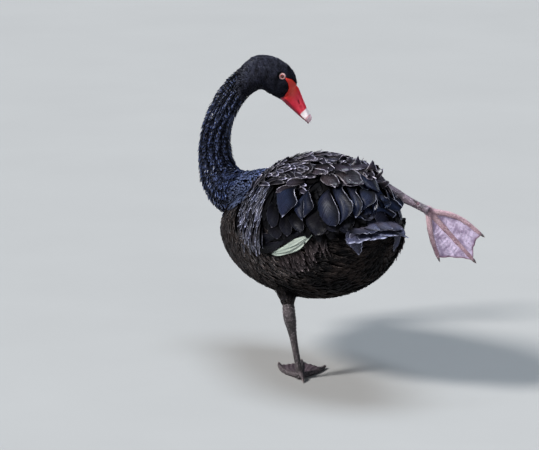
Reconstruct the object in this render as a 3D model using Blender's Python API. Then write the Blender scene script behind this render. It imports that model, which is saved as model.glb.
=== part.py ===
# A black swan, life size and still: it stands on its left foot, stretches the right leg
# out behind, and turns its head back over the right shoulder.
# Metres, +Z up. The swan faces -Y and its left side is +X. The origin is the middle of the
# pad under the standing foot.
import math

import bmesh
import bpy
import numpy as np
from mathutils import Matrix, Vector

GAP = 0.0003
FEATHER_SOLVER = "MANIFOLD"

# Where the middle of the body stands over the sole's pad, and how far its axis rises to the tail
BODY_AT = Vector((-0.046, -0.036, 0.272))
BODY_RISE = math.radians(9)

# Reach of the torso's plumage from its middle
TORSO_CENTRE = Vector((0, 0.006, -0.004))
TORSO = dict(front=0.282, rear=0.234, half_width=0.126, up=0.096, down=0.127)

# The folded wings and scapulars arch over the torso like a second shell
ARCH_RISE = math.radians(11)
ARCH_CENTRE = Vector((0, 0.036, 0.0))
WING_ARCH = dict(front=0.207, rear=0.214, half_width=0.133, up=0.136, down=0.118)
WING_EDGE_FRONT = Vector((0, -0.150, -0.045))
WING_EDGE_REAR = Vector((0, 0.215, 0.066))
PAD_BELOW_FEATHERS = 0.0035

# Rows of wing feathers from the shoulders to the rump. Back is the place of the roots along the
# wing's axis, angles run from the midline down the side, sweep turns a feather down from straight back
WING_ROWS = [
    dict(back=-0.126, angles=(24, 64), count=4, length=0.058, width=0.042, sweep=(-4, 14)),
    dict(back=-0.080, angles=(14, 71), count=5, length=0.068, width=0.046, sweep=(-8, 16)),
    dict(back=-0.030, angles=(12, 69), count=5, length=0.074, width=0.048, sweep=(-12, 18)),
    dict(back=0.022, angles=(12, 64), count=5, length=0.076, width=0.048, sweep=(-10, 24)),
    dict(back=0.074, angles=(12, 61), count=5, length=0.078, width=0.048, sweep=(-6, 34)),
    dict(back=0.124, angles=(13, 64), count=4, length=0.072, width=0.050, sweep=(0, 34)),
    dict(back=0.162, angles=(16, 74), count=3, length=0.060, width=0.054, sweep=(4, 26)),
]
FEATHER_LIFT = (-0.0060, 0.0030)
FEATHER_THICKNESS = (0.0022, 0.0010)
FEATHER_TILT = 0.0012

# White flight feathers showing below the coverts of the folded wing
FLIGHT_HEADING = Vector((0, 0.90, 0.43))
FLIGHT_FEATHERS = [
    dict(root=Vector((0.120, 0.062, -0.018)), length=0.112, width=0.027, level=0.0016),
    dict(root=Vector((0.120, 0.064, -0.004)), length=0.130, width=0.029, level=0.0028),
    dict(root=Vector((0.120, 0.066, 0.010)), length=0.138, width=0.029, level=0.0040),
]
FLIGHT_THICKNESS = 0.0016

TAIL_ROOT = Vector((0, 0.180, 0.050))
TAIL_DROOP = math.radians(14)
TAIL_FAN = [
    dict(count=7, spread=math.radians(34), length=0.106, width=0.036, level=0.0, start=0.012),
    dict(count=4, spread=math.radians(26), length=0.074, width=0.040, level=0.0055, start=0.006),
]
TAIL_ROOF = 7.0
TAIL_PAD = dict(front=0.042, rear=0.040, half_width=0.050, up=0.028, down=0.016)
TAIL_STEP = 0.0012

# Middle line of the neck from the body's middle, with its radius
NECK = [
    ((0.000, -0.105, 0.018), 0.062),
    ((0.004, -0.160, 0.022), 0.054),
    ((0.014, -0.226, 0.013), 0.046),
    ((0.022, -0.274, 0.015), 0.042),
    ((0.028, -0.304, 0.032), 0.038),
    ((0.033, -0.315, 0.060), 0.033),
    ((0.036, -0.316, 0.090), 0.0295),
    ((0.035, -0.313, 0.121), 0.0270),
    ((0.030, -0.308, 0.148), 0.0255),
    ((0.020, -0.300, 0.175), 0.0250),
    ((0.006, -0.291, 0.200), 0.0255),
    ((-0.012, -0.281, 0.220), 0.0260),
    ((-0.034, -0.269, 0.231), 0.0250),
]
NECK_CUTS = (0.36, 0.66)
NECK_SIDES = 16

# The head turns back past the right shoulder, in profile, with the bill tipped down
HEAD_AT = Vector((-0.070, -0.250, 0.2305))
HEAD_HEADING = math.radians(28)
HEAD_DIP = math.radians(46)
# Profile of the head from nape to face: place along it, crown, throat and half width
HEAD_PROFILE = [
    (-0.062, -0.016, -0.024, 0.005),
    (-0.058, -0.007, -0.032, 0.012),
    (-0.046, 0.006, -0.041, 0.0195),
    (-0.030, 0.0155, -0.0455, 0.0225),
    (-0.012, 0.0210, -0.0455, 0.0230),
    (0.004, 0.0215, -0.0425, 0.0215),
    (0.018, 0.0180, -0.0375, 0.0185),
    (0.028, 0.0120, -0.0345, 0.0158),
    (0.0347, 0.0050, -0.0325, 0.0135),
]

BILL_BASE = 0.0350
BILL_TIP = 0.1000
BILL_TOP_BASE = 0.0045
BILL_LINE = -0.0262
BILL_HALF_WIDTH = 0.0128
LOWER_BILL_DEPTH = 0.0056

EYE_AT = Vector((0.000, 0.0135, 0.000))
EYE_RADIUS = 0.0058
LID_INNER = EYE_RADIUS + GAP
LID_OUTER = 0.0074
LID_OPENING = 0.0040

# Legs. Places are from the body's middle, the standing foot's from its own pad
LEGS = {
    "left": dict(
        knee=Vector((0.058, -0.002, -0.062)),
        ankle=Vector((0.060, 0.022, -0.156)),
        foot=Vector((0, 0, 0.0084)) - BODY_AT,
        thigh_radii=((0.0, 0.042), (0.35, 0.034), (0.62, 0.023), (0.85, 0.0125), (1.0, 0.0092)),
    ),
    "right": dict(
        knee=Vector((-0.088, 0.010, -0.005)),
        ankle=Vector((-0.058, 0.155, 0.090)),
        foot=Vector((-0.108, 0.227, 0.057)),
        thigh_radii=((0.0, 0.040), (0.4, 0.030), (0.75, 0.020), (0.92, 0.0125), (1.0, 0.0092)),
    ),
}
LEG_ROOM = 0.0010
ANKLE_RADIUS = 0.0108
SHANK_RADIUS = (0.0060, 0.0046)

TOES = {
    "inner": dict(length=0.084, angle=math.radians(-30)),
    "middle": dict(length=0.118, angle=0.0),
    "outer": dict(length=0.102, angle=math.radians(23)),
}
TOE_RADIUS = (0.0056, 0.0036)
TOE_SIDES = 6
CLAW_LENGTH = 0.013
WEB_THICKNESS = 0.0014
WEB_SAG = 0.09
PAD_RADIUS = 0.009
JOINT_HEIGHT = 0.012
LEFT_FOOT_TURN = math.radians(-30)

COLOURS = {
    "plumage": ((0.020, 0.019, 0.021), 0.62, 0.0),
    "wing_plumage": ((0.032, 0.030, 0.033), 0.55, 0.0),
    "flight_white": ((0.62, 0.65, 0.60), 0.60, 0.0),
    "bill_red": ((0.72, 0.060, 0.045), 0.35, 0.0),
    "bill_dark": ((0.16, 0.020, 0.022), 0.40, 0.0),
    "lid_pink": ((0.75, 0.42, 0.40), 0.50, 0.0),
    "eye": ((0.30, 0.020, 0.012), 0.08, 0.0),
    "leg_skin": ((0.060, 0.045, 0.050), 0.50, 0.0),
    "web_skin": ((0.34, 0.22, 0.27), 0.50, 0.0),
}


def clear_scene():
    for obj in list(bpy.data.objects):
        bpy.data.objects.remove(obj)


def paint(name):
    colour, roughness, metallic = COLOURS[name]
    material = bpy.data.materials.new(name)
    material.use_nodes = True
    shader = material.node_tree.nodes["Principled BSDF"]
    shader.inputs["Base Color"].default_value = (*colour, 1.0)
    shader.inputs["Roughness"].default_value = roughness
    shader.inputs["Metallic"].default_value = metallic
    return material


def solid(name, points, faces):
    """An object from points and faces, with its faces turned outwards."""
    mesh = bpy.data.meshes.new(name)
    mesh.from_pydata([tuple(p) for p in points], [], faces)
    form = bmesh.new()
    form.from_mesh(mesh)
    bmesh.ops.recalc_face_normals(form, faces=form.faces)
    bmesh.ops.triangulate(form, faces=form.faces, quad_method="FIXED", ngon_method="EAR_CLIP")
    form.to_mesh(mesh)
    form.free()
    obj = bpy.data.objects.new(name, mesh)
    bpy.context.scene.collection.objects.link(obj)
    return obj


def loft(name, rings):
    """A closed skin over rings of equally many points, with a flat cap at each end."""
    sides = len(rings[0])
    points = [p for ring in rings for p in ring]
    faces = [
        (i * sides + j, i * sides + (j + 1) % sides, (i + 1) * sides + (j + 1) % sides, (i + 1) * sides + j)
        for i in range(len(rings) - 1)
        for j in range(sides)
    ]
    faces.append(tuple(range(sides)))
    faces.append(tuple(range(len(points) - sides, len(points))))
    return solid(name, points, faces)


def keep_largest(obj):
    """Keeps the largest closed surface of a mesh, which drops scraps and sealed hollows."""
    form = bmesh.new()
    form.from_mesh(obj.data)
    left = set(form.verts)
    shells = []
    while left:
        shell, front = set(), [left.pop()]
        while front:
            vertex = front.pop()
            shell.add(vertex)
            for edge in vertex.link_edges:
                other = edge.other_vert(vertex)
                if other in left:
                    left.discard(other)
                    front.append(other)
        shells.append(shell)
    spans = []
    for shell in shells:
        places = np.array([v.co for v in shell])
        spans.append(np.linalg.norm(places.max(axis=0) - places.min(axis=0)))
    largest = shells[spans.index(max(spans))]
    bmesh.ops.delete(form, geom=[v for v in form.verts if v not in largest], context="VERTS")
    form.to_mesh(obj.data)
    form.free()


def combine(obj, others, operation, solver="EXACT"):
    """Applies one Boolean of obj with a collection of closed meshes, then removes them."""
    group = bpy.data.collections.new(obj.name + "_" + operation.lower())
    bpy.context.scene.collection.children.link(group)
    for other in others:
        bpy.context.scene.collection.objects.unlink(other)
        group.objects.link(other)
    step = obj.modifiers.new(operation.lower(), "BOOLEAN")
    step.operation = operation
    step.solver = solver
    step.operand_type = "COLLECTION"
    step.collection = group
    graph = bpy.context.evaluated_depsgraph_get()
    mesh = bpy.data.meshes.new_from_object(obj.evaluated_get(graph))
    obj.modifiers.clear()
    obj.data = mesh
    for other in others:
        bpy.data.objects.remove(other)
    bpy.data.collections.remove(group)
    keep_largest(obj)
    return obj


def fuse(name, pieces, solver="EXACT"):
    first, *others = pieces
    first.name = name
    return combine(first, others, "UNION", solver) if others else first


def cut_clear(obj, cutters, solver="EXACT"):
    return combine(obj, cutters, "DIFFERENCE", solver)


def finish(obj, colour, parent, sharp=40):
    obj.data.materials.clear()
    obj.data.materials.append(paint(colour))
    obj.data.shade_smooth()
    obj.data.set_sharp_from_angle(angle=math.radians(sharp))
    obj.parent = parent


def swollen(obj, grow):
    """Moves every face of a closed mesh outwards, so that it cuts with a clearance."""
    form = bmesh.new()
    form.from_mesh(obj.data)
    form.normal_update()
    moves = [v.normal * grow * v.calc_shell_factor() for v in form.verts]
    for vertex, move in zip(form.verts, moves):
        vertex.co += move
    form.to_mesh(obj.data)
    form.free()
    return obj


class Egg:
    """A rounded body whose reach differs on each side: front, rear, half_width, up and down."""

    def __init__(self, centre, rise, reach):
        self.centre = Vector(centre)
        self.turn = Matrix.Rotation(rise, 3, "X")
        self.reach = reach

    def sizes(self, local):
        reach = self.reach
        return Vector((
            reach["half_width"],
            reach["rear"] if local.y > 0 else reach["front"],
            reach["up"] if local.z > 0 else reach["down"],
        ))

    def mesh(self, name, sides, rings):
        form = bmesh.new()
        bmesh.ops.create_uvsphere(form, u_segments=sides, v_segments=rings, radius=1.0)
        stand = Matrix.Rotation(math.radians(90), 3, "X")
        for vertex in form.verts:
            local = stand @ vertex.co
            sizes = self.sizes(local)
            local = Vector((local.x * sizes.x, local.y * sizes.y, local.z * sizes.z))
            vertex.co = self.centre + self.turn @ local
        points = [v.co.copy() for v in form.verts]
        faces = [tuple(v.index for v in f.verts) for f in form.faces]
        form.free()
        return solid(name, points, faces)

    def settle(self, point):
        """The place on the surface in line with a point from the middle."""
        local = self.turn.transposed() @ (point - self.centre)
        sizes = self.sizes(local)
        level = Vector((local.x / sizes.x, local.y / sizes.y, local.z / sizes.z)).length
        return self.centre + self.turn @ (local / level)

    def normal(self, point):
        local = self.turn.transposed() @ (point - self.centre)
        sizes = self.sizes(local)
        slope = Vector((local.x / sizes.x**2, local.y / sizes.y**2, local.z / sizes.z**2))
        return (self.turn @ slope).normalized()


class Line:
    """A smooth line through points with a radius at each, which gives rings across it."""

    def __init__(self, stations, samples=160):
        knots = np.array([[*place, radius] for place, radius in stations])
        ends = [2 * knots[0] - knots[1]], [2 * knots[-1] - knots[-2]]
        knots = np.concatenate([ends[0], knots, ends[1]])
        rows = []
        for i in range(1, len(knots) - 2):
            a, b, c, d = knots[i - 1 : i + 3]
            for t in np.linspace(0, 1, samples // (len(knots) - 3), endpoint=False):
                rows.append(0.5 * (2 * b + (c - a) * t + (2 * a - 5 * b + 4 * c - d) * t**2 + (3 * b - a - 3 * c + d) * t**3))
        self.rows = np.array([*rows, knots[-2]])
        steps = np.linalg.norm(np.diff(self.rows[:, :3], axis=0), axis=1)
        self.along = np.concatenate([[0], np.cumsum(steps)])
        self.length = self.along[-1]
        ways = np.gradient(self.rows[:, :3], self.along, axis=0)
        self.ways = ways / np.linalg.norm(ways, axis=1)[:, None]
        side = Vector((1, 0, 0))
        self.sides = []
        for way in self.ways:
            way = Vector(way)
            side = (side - way * side.dot(way)).normalized()
            self.sides.append(side.copy())

    def at(self, distance):
        row = [float(np.interp(distance, self.along, self.rows[:, i])) for i in range(4)]
        way = Vector([float(np.interp(distance, self.along, self.ways[:, i])) for i in range(3)]).normalized()
        nearest = int(np.argmin(abs(self.along - distance)))
        side = self.sides[nearest]
        side = (side - way * side.dot(way)).normalized()
        return Vector(row[:3]), row[3], way, side

    def ring(self, distance, sides):
        place, radius, way, side = self.at(distance)
        up = way.cross(side)
        turns = [2 * math.pi * k / sides for k in range(sides)]
        return [place + (side * math.cos(t) + up * math.sin(t)) * radius for t in turns]

    def tube(self, name, start, end, rings, sides):
        return loft(name, [self.ring(p, sides) for p in np.linspace(start, end, rings)])


class Roof:
    """A gently arched sheet that dips to the rear, highest along the middle."""

    def __init__(self, root, droop, arch):
        self.root = root
        self.turn = Matrix.Rotation(-droop, 3, "X")
        self.arch = arch

    def settle(self, point):
        local = self.turn.transposed() @ (point - self.root)
        local.z = -self.arch * local.x**2
        return self.root + self.turn @ local

    def normal(self, point):
        local = self.turn.transposed() @ (point - self.root)
        return (self.turn @ Vector((2 * self.arch * local.x, 0, 1))).normalized()


def vane(surface, root, heading, length, width, lift, thickness, tilt=0.0):
    """One feather as a thin closed leaf that follows a surface, sunk at its root and raised at its tip."""
    outline = ((0.0, 0.50), (0.38, 0.95), (0.74, 0.96), (0.92, 0.66), (1.0, 0.24))
    spot = surface.settle(root)
    gone, points = 0.0, []
    for share, broad in outline:
        while gone < share - 1e-6:
            step = min(0.08, share - gone)
            normal = surface.normal(spot)
            heading = (heading - normal * heading.dot(normal)).normalized()
            spot = surface.settle(spot + heading * length * step)
            gone += step
        normal = surface.normal(spot)
        heading = (heading - normal * heading.dot(normal)).normalized()
        across = normal.cross(heading)
        high = lift[0] + (lift[1] - lift[0]) * share**0.7
        thick = thickness[0] + (thickness[1] - thickness[0]) * share
        for c in (-1, 0, 1):
            foot = surface.settle(spot + across * broad * width / 2 * c)
            out = surface.normal(foot)
            top = high + tilt * c - 0.0006 * abs(c)
            points.append((foot + out * (top - thick), foot + out * top))
    rows = len(outline)
    flat = [low for low, _ in points] + [top for _, top in points]
    count = len(points)
    faces = []
    for i in range(rows - 1):
        for j in range(2):
            a, b, c, d = i * 3 + j, i * 3 + j + 1, (i + 1) * 3 + j + 1, (i + 1) * 3 + j
            faces += [(a, b, c), (a, c, d)]
            faces += [(count + a, count + c, count + b), (count + a, count + d, count + c)]
        for j in (0, 2):
            a, d = i * 3 + j, (i + 1) * 3 + j
            faces += [(a, d, count + d), (a, count + d, count + a)]
    for i in (0, rows - 1):
        for j in range(2):
            a, b = i * 3 + j, i * 3 + j + 1
            faces += [(a, b, count + b), (a, count + b, count + a)]
    return solid("vane", flat, faces)


torso_egg = Egg(TORSO_CENTRE, BODY_RISE, TORSO)
wing_egg = Egg(ARCH_CENTRE, ARCH_RISE, WING_ARCH)
pad_egg = Egg(ARCH_CENTRE, ARCH_RISE, {way: reach - PAD_BELOW_FEATHERS for way, reach in WING_ARCH.items()})
tail_roof = Roof(TAIL_ROOT, TAIL_DROOP, TAIL_ROOF)
neck_line = Line(NECK)


def torso_solid():
    return torso_egg.mesh("torso", 32, 16)


def head_frame():
    """Head axes in the body's frame: forward along the mouth line, left, and up."""
    level = Matrix.Rotation(math.pi - HEAD_HEADING, 4, "Z")
    return Matrix.Translation(HEAD_AT) @ level @ Matrix.Rotation(HEAD_DIP, 4, "Y")


def skull_solid():
    """Crown, cheeks and throat, narrowing to the face where the bill begins."""
    rings = []
    table = np.array(HEAD_PROFILE)
    back, face = table[0][0], table[-1][0]
    for i in range(13):
        along = back + (face - back) * (i / 12) ** 1.15
        crown, throat, wide = (float(np.interp(along, table[:, 0], table[:, c])) for c in (1, 2, 3))
        middle, half = (crown + throat) / 2, (crown - throat) / 2
        turns = [2 * math.pi * k / 20 for k in range(20)]
        rings.append([Vector((along, wide * math.cos(a), middle + half * math.sin(a))) for a in turns])
    skull = loft("head", rings)
    skull.data.transform(head_frame())
    return skull


def make_head(parent):
    skull = skull_solid()
    sockets = [ball("socket", head_frame() @ mirrored(EYE_AT, side), LID_OUTER + GAP, 14, 8) for side in (1, -1)]
    head = cut_clear(skull, sockets)
    finish(head, "plumage", parent)


def mirrored(place, side):
    return Vector((place.x, place.y * side, place.z))


def ball(name, centre, radius, sides, rings):
    form = bmesh.new()
    bmesh.ops.create_uvsphere(form, u_segments=sides, v_segments=rings, radius=radius)
    points = [v.co + centre for v in form.verts]
    faces = [tuple(v.index for v in f.verts) for f in form.faces]
    form.free()
    return solid(name, points, faces)


def make_eye(side, parent):
    name = "left" if side > 0 else "right"
    frame = head_frame()
    eye = ball("eye_" + name, frame @ mirrored(EYE_AT, side), EYE_RADIUS, 12, 8)
    finish(eye, "eye", parent)
    rings = []
    back = math.radians(100)
    front = math.asin(LID_OPENING / LID_OUTER)
    steps = 3
    turns = [back + (front - back) * i / steps for i in range(steps + 1)]
    profile = [(LID_OUTER * math.sin(t), LID_OUTER * math.cos(t)) for t in turns]
    profile += [(LID_INNER * math.sin(t), LID_INNER * math.cos(t)) for t in reversed(turns)]
    count = 14
    points, faces = [], []
    for k in range(count):
        a = 2 * math.pi * k / count
        for out, deep in profile:
            local = Vector((out * math.cos(a), deep * side, out * math.sin(a)))
            points.append(frame @ (mirrored(EYE_AT, side) + local))
    wide = len(profile)
    for k in range(count):
        for j in range(wide):
            a, b = k * wide + j, k * wide + (j + 1) % wide
            c, d = ((k + 1) % count) * wide + (j + 1) % wide, ((k + 1) % count) * wide + j
            faces.append((a, b, c, d))
    lid = solid("lid_" + name, points, faces)
    finish(lid, "lid_pink", parent)


def bill_top(along):
    """Height of the culmen at a distance along the mouth line: straight, then rounding to the nail."""
    share = (along - BILL_BASE) / (BILL_TIP - BILL_BASE)
    ridge = BILL_TOP_BASE + (BILL_LINE + 0.0095 - BILL_TOP_BASE) * share**0.92
    nail = max(0.0, (share - 0.80) / 0.20)
    return BILL_LINE + (ridge - BILL_LINE) * math.sqrt(max(0.02, 1 - nail**2.2))


def bill_half_width(along):
    share = (along - BILL_BASE) / (BILL_TIP - BILL_BASE)
    nail = max(0.0, (share - 0.72) / 0.28)
    return BILL_HALF_WIDTH * (1 - 0.16 * math.sin(math.pi * share)) * math.sqrt(max(0.03, 1 - nail**2.4))


def make_bill(parent):
    stations = [BILL_BASE + (BILL_TIP - BILL_BASE) * s for s in (0, 0.15, 0.32, 0.50, 0.66, 0.80, 0.90, 0.96, 1.0)]
    upper, lower = [], []
    sides = 14
    for along in stations:
        wide, top = bill_half_width(along), bill_top(along)
        ring = []
        for k in range(sides + 1):
            a = math.pi * k / sides
            ring.append(Vector((along, wide * math.cos(a), BILL_LINE + (top - BILL_LINE) * math.sin(a) ** 0.85)))
        upper.append(ring)
    bill = loft("bill_upper", upper)
    for along in stations[:-2]:
        share = (along - BILL_BASE) / (BILL_TIP - BILL_BASE)
        wide = bill_half_width(along) * 0.86
        deep = LOWER_BILL_DEPTH * (1 - 0.55 * share)
        floor = BILL_LINE - GAP
        ring = [Vector((along, wide * math.cos(a), floor + deep * math.sin(a)))
                for a in [math.pi + math.pi * k / 10 for k in range(11)]]
        lower.append(ring)
    jaw = loft("bill_lower", lower)
    for side in (1, -1):
        slot = Line([((0.0605, side * 0.0090, -0.0116), 0.0009), ((0.0655, side * 0.0086, -0.0126), 0.0017),
                     ((0.0705, side * 0.0080, -0.0140), 0.0009)])
        cut_clear(bill, [slot.tube("nostril", 0, slot.length, 5, 8)])
    for obj in (bill, jaw):
        obj.data.transform(head_frame())
    finish(bill, "bill_red", parent)
    finish(jaw, "bill_dark", parent)


NECK_PIECES = {"neck_lower": (0, NECK_CUTS[0], 10), "neck_middle": (*NECK_CUTS, 9), "neck_upper": (NECK_CUTS[1], 1, 11)}


def neck_piece(name):
    """One length of the neck, parted from the next by a thin gap across it."""
    start, end, rings = NECK_PIECES[name]
    low = start * neck_line.length + (GAP / 2 if start else 0)
    high = end * neck_line.length - (GAP / 2 if end < 1 else 0)
    return neck_line.tube(name, low, high, rings, NECK_SIDES)


def make_neck(parent):
    for name in NECK_PIECES:
        piece = neck_piece(name)
        if name == "neck_lower":
            cut_clear(piece, [swollen(torso_solid(), GAP)])
        if name == "neck_upper":
            cut_clear(piece, [swollen(skull_solid(), GAP)])
        finish(piece, "plumage", parent)


def half_space(name, point, normal, size=0.8):
    """A large box whose one face passes through a point, on the side that the normal leaves."""
    normal = normal.normalized()
    turn = normal.to_track_quat("Z", "Y").to_matrix().to_4x4()
    form = bmesh.new()
    bmesh.ops.create_cube(form, size=size)
    place = Matrix.Translation(point + normal * size / 2) @ turn
    points = [place @ v.co for v in form.verts]
    faces = [tuple(v.index for v in f.verts) for f in form.faces]
    form.free()
    return solid(name, points, faces)


def tail_pieces():
    """Two tiers of tail feathers spread like a fan over a small rump pad."""
    pad = Egg(TAIL_ROOT + Vector((0, 0.034, -0.014)), -TAIL_DROOP, TAIL_PAD)
    pieces = [pad.mesh("tail", 16, 8)]
    for tier in TAIL_FAN:
        for k in range(tier["count"]):
            share = 2 * k / (tier["count"] - 1) - 1
            angle = share * tier["spread"]
            way = tail_roof.turn @ Vector((math.sin(angle), math.cos(angle), 0))
            level = tier["level"] + TAIL_STEP * (tier["count"] / 2) * (1 - abs(share))
            length = tier["length"] * (1 - 0.10 * share**2)
            root = TAIL_ROOT + way * tier["start"]
            pieces.append(vane(tail_roof, root, way, length, tier["width"], (level - 0.0060, level), (0.0022, 0.0012)))
    return pieces


def mirror_across(obj):
    for vertex in obj.data.vertices:
        vertex.co.x = -vertex.co.x
    obj.data.flip_normals()
    return obj


def flight_pieces(side):
    """Long white flight feathers of the folded wing, lying back along the body's side."""
    pieces = []
    for feather in FLIGHT_FEATHERS:
        level = feather["level"] + FLIGHT_THICKNESS
        piece = vane(torso_egg, feather["root"], FLIGHT_HEADING, feather["length"], feather["width"],
                     (level, level), (FLIGHT_THICKNESS, FLIGHT_THICKNESS * 0.8))
        pieces.append(piece if side > 0 else mirror_across(piece))
    return pieces


def wing_feathers(side):
    """The feathers of one folded wing in overlapping rows over the arch."""
    jitter = np.random.default_rng(5)
    pieces = []
    for row in WING_ROWS:
        for k in range(row["count"]):
            share = k / (row["count"] - 1)
            angle = math.radians(row["angles"][0] + (row["angles"][1] - row["angles"][0]) * share)
            shift, turn, size = jitter.normal(0, 0.002), jitter.normal(0, 3.0), jitter.normal(1, 0.03)
            sweep = math.radians(row["sweep"][0] + (row["sweep"][1] - row["sweep"][0]) * share + turn)
            local = Vector((math.sin(angle) * 0.1, row["back"] + shift, math.cos(angle) * 0.1))
            scale = math.sqrt(max(0.05, 1 - (local.y / wing_egg.sizes(local).y) ** 2))
            sizes = wing_egg.sizes(local)
            local = Vector((sizes.x * math.sin(angle) * scale, local.y, sizes.z * math.cos(angle) * scale))
            root = wing_egg.centre + wing_egg.turn @ local
            down = (wing_egg.turn @ Vector((math.cos(angle), 0, -math.sin(angle)))).normalized()
            heading = wing_egg.turn @ Vector((0, 1, 0)) * math.cos(sweep) + down * math.sin(sweep)
            piece = vane(wing_egg, root, heading, row["length"] * size, row["width"], FEATHER_LIFT,
                         FEATHER_THICKNESS, FEATHER_TILT)
            pieces.append(piece if side > 0 else mirror_across(piece))
    return pieces


def make_wing(side, parent):
    name = "left" if side > 0 else "right"
    pad = pad_egg.mesh("wing_" + name, 24, 14)
    edge = WING_EDGE_REAR - WING_EDGE_FRONT
    below = Vector((0, edge.z, -edge.y))
    cut_clear(pad, [half_space("below", WING_EDGE_FRONT, below)])
    wing = fuse("wing_" + name, [pad, *wing_feathers(side)], FEATHER_SOLVER)
    cutters = [
        half_space("midline", Vector((side * GAP, 0, 0)), Vector((-side, 0, 0))),
        swollen(torso_solid(), GAP),
        swollen(neck_piece("neck_lower"), GAP),
        *(swollen(piece, GAP) for piece in flight_pieces(side)),
        *(swollen(piece, GAP) for piece in tail_pieces()),
    ]
    if side < 0:
        cutters.append(swollen(thigh_solid("right"), LEG_ROOM))
        cutters.append(swollen(shank_solid("right"), LEG_ROOM))
    for cutter in cutters:
        cut_clear(wing, [cutter], FEATHER_SOLVER)
    finish(wing, "wing_plumage", parent)
    flight = fuse("flight_" + name, flight_pieces(side), FEATHER_SOLVER)
    cut_clear(flight, [swollen(torso_solid(), GAP)], FEATHER_SOLVER)
    finish(flight, "flight_white", parent)


def make_tail(parent):
    tail = fuse("tail", tail_pieces(), FEATHER_SOLVER)
    cut_clear(tail, [swollen(torso_solid(), GAP)], FEATHER_SOLVER)
    finish(tail, "plumage", parent)


def thigh_solid(side):
    """The feathered leg between the body and the bare ankle."""
    leg = LEGS[side]
    stations = [(tuple(leg["knee"].lerp(leg["ankle"], share)), radius) for share, radius in leg["thigh_radii"]]
    line = Line(stations)
    return line.tube("thigh_" + side, 0, line.length - GAP, 8, 14)


def shank_solid(side):
    """The bare leg: the ankle's knob and the shank down to the foot."""
    ankle, foot = LEGS[side]["ankle"], LEGS[side]["foot"]
    way = (foot - ankle).normalized()
    stations = [
        (tuple(ankle), 0.0090),
        (tuple(ankle + way * 0.010), ANKLE_RADIUS),
        (tuple(ankle + way * 0.022), 0.0078),
        (tuple(ankle + way * 0.040), SHANK_RADIUS[0]),
        (tuple(ankle.lerp(foot, 0.75)), SHANK_RADIUS[1]),
        (tuple(foot), 0.0062),
    ]
    line = Line(stations)
    return line.tube("shank_" + side, GAP, line.length, 11, 10)


def toe_line(angle, length, drop=0.0):
    """A toe from the joint, sinking from the joint's height to lie along the ground."""
    way = Vector((math.cos(angle), math.sin(angle), 0))
    stations = []
    for share, high, radius in ((0, 0.0085, 0.0066), (0.14, 0.0050, TOE_RADIUS[0]), (0.45, 0.0042, 0.0047),
                                (0.75, 0.0036, 0.0041), (1.0, 0.0031, TOE_RADIUS[1])):
        stations.append((tuple(way * length * share + Vector((0, 0, high))), radius))
    return Line(stations)


def make_foot(name, place, parent):
    """Three webbed toes, a short hind toe and claws. On the left foot the outer toe is on its left."""
    side = 1 if name == "left" else -1
    pieces = []
    tips = {}
    for toe, size in TOES.items():
        angle = size["angle"] * side
        line = toe_line(angle, size["length"])
        pieces.append(line.tube(toe, 0, line.length, 5, TOE_SIDES))
        way = Vector((math.cos(angle), math.sin(angle), 0))
        tip = way * size["length"]
        tips[toe] = (angle, size["length"])
        claw = Line([
            (tuple(tip - way * 0.006 + Vector((0, 0, 0.0036))), 0.0030),
            (tuple(tip + way * CLAW_LENGTH * 0.45 + Vector((0, 0, 0.0042))), 0.0021),
            (tuple(tip + way * CLAW_LENGTH + Vector((0, 0, 0.0012))), 0.0006),
        ])
        pieces.append(claw.tube("claw", 0, claw.length, 4, 6))
    hind = Line([((-0.004, 0, 0.013), 0.0042), ((-0.016, -0.004 * side, 0.0085), 0.0035), ((-0.026, -0.006 * side, 0.0045), 0.0026),
                 ((-0.033, -0.007 * side, 0.0015), 0.0007)])
    pieces.append(hind.tube("hind", 0, hind.length, 5, TOE_SIDES))
    for first, second in (("inner", "middle"), ("middle", "outer")):
        pieces.append(web(tips[first], tips[second]))
    joint = Line([((0, 0, 0.001), 0.0085), ((0, 0, JOINT_HEIGHT), 0.0082)])
    pieces.append(joint.tube("joint", 0, joint.length, 3, 10))
    pad = Line([((0, 0, 0.0), PAD_RADIUS), ((0, 0, 0.006), PAD_RADIUS * 0.8)])
    pieces.append(pad.tube("pad", 0, pad.length, 2, 12))
    for piece in pieces:
        for vertex in piece.data.vertices:
            vertex.co.z = max(vertex.co.z, 0.0)
    foot = fuse("foot_" + name, pieces)
    foot.data.transform(place)
    cut_clear(foot, [swollen(shank_solid(name), GAP)])
    finish(foot, "web_skin" if side < 0 else "leg_skin", parent)


def web(first, second):
    """The skin between two toes: a thin fan with a hollow outer edge."""
    (angle_a, length_a), (angle_b, length_b) = first, second
    across, along = 4, 3
    rows = []
    for i in range(across + 1):
        share = i / across
        angle = angle_a + (angle_b - angle_a) * share
        reach = (length_a + (length_b - length_a) * share) * (0.95 - WEB_SAG * math.sin(math.pi * share))
        way = Vector((math.cos(angle), math.sin(angle), 0))
        row = []
        for k in range(along + 1):
            out = 0.008 + (reach - 0.008) * k / along
            high = 0.0012 + 0.0035 * (1 - k / along) ** 2
            row.append((way * out + Vector((0, 0, high)), way * out + Vector((0, 0, high + WEB_THICKNESS))))
        rows.append(row)
    rings = [[low for low, _ in row] + [top for _, top in reversed(row)] for row in rows]
    return loft("web", rings)


def right_foot_place():
    """The raised foot trails from the shank with its sole turned to the rear."""
    toe_way = Vector((-0.588, 0.316, -0.743)).normalized()
    sole_way = Vector((0.459, 0.864, 0.208))
    up = -(sole_way - toe_way * sole_way.dot(toe_way)).normalized()
    left = up.cross(toe_way)
    turn = Matrix((toe_way, left, up)).transposed().to_4x4()
    return Matrix.Translation(LEGS["right"]["foot"]) @ turn


def left_foot_place():
    heading = Matrix.Rotation(math.radians(-90) + LEFT_FOOT_TURN, 4, "Z")
    return Matrix.Translation(-BODY_AT) @ heading


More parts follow.
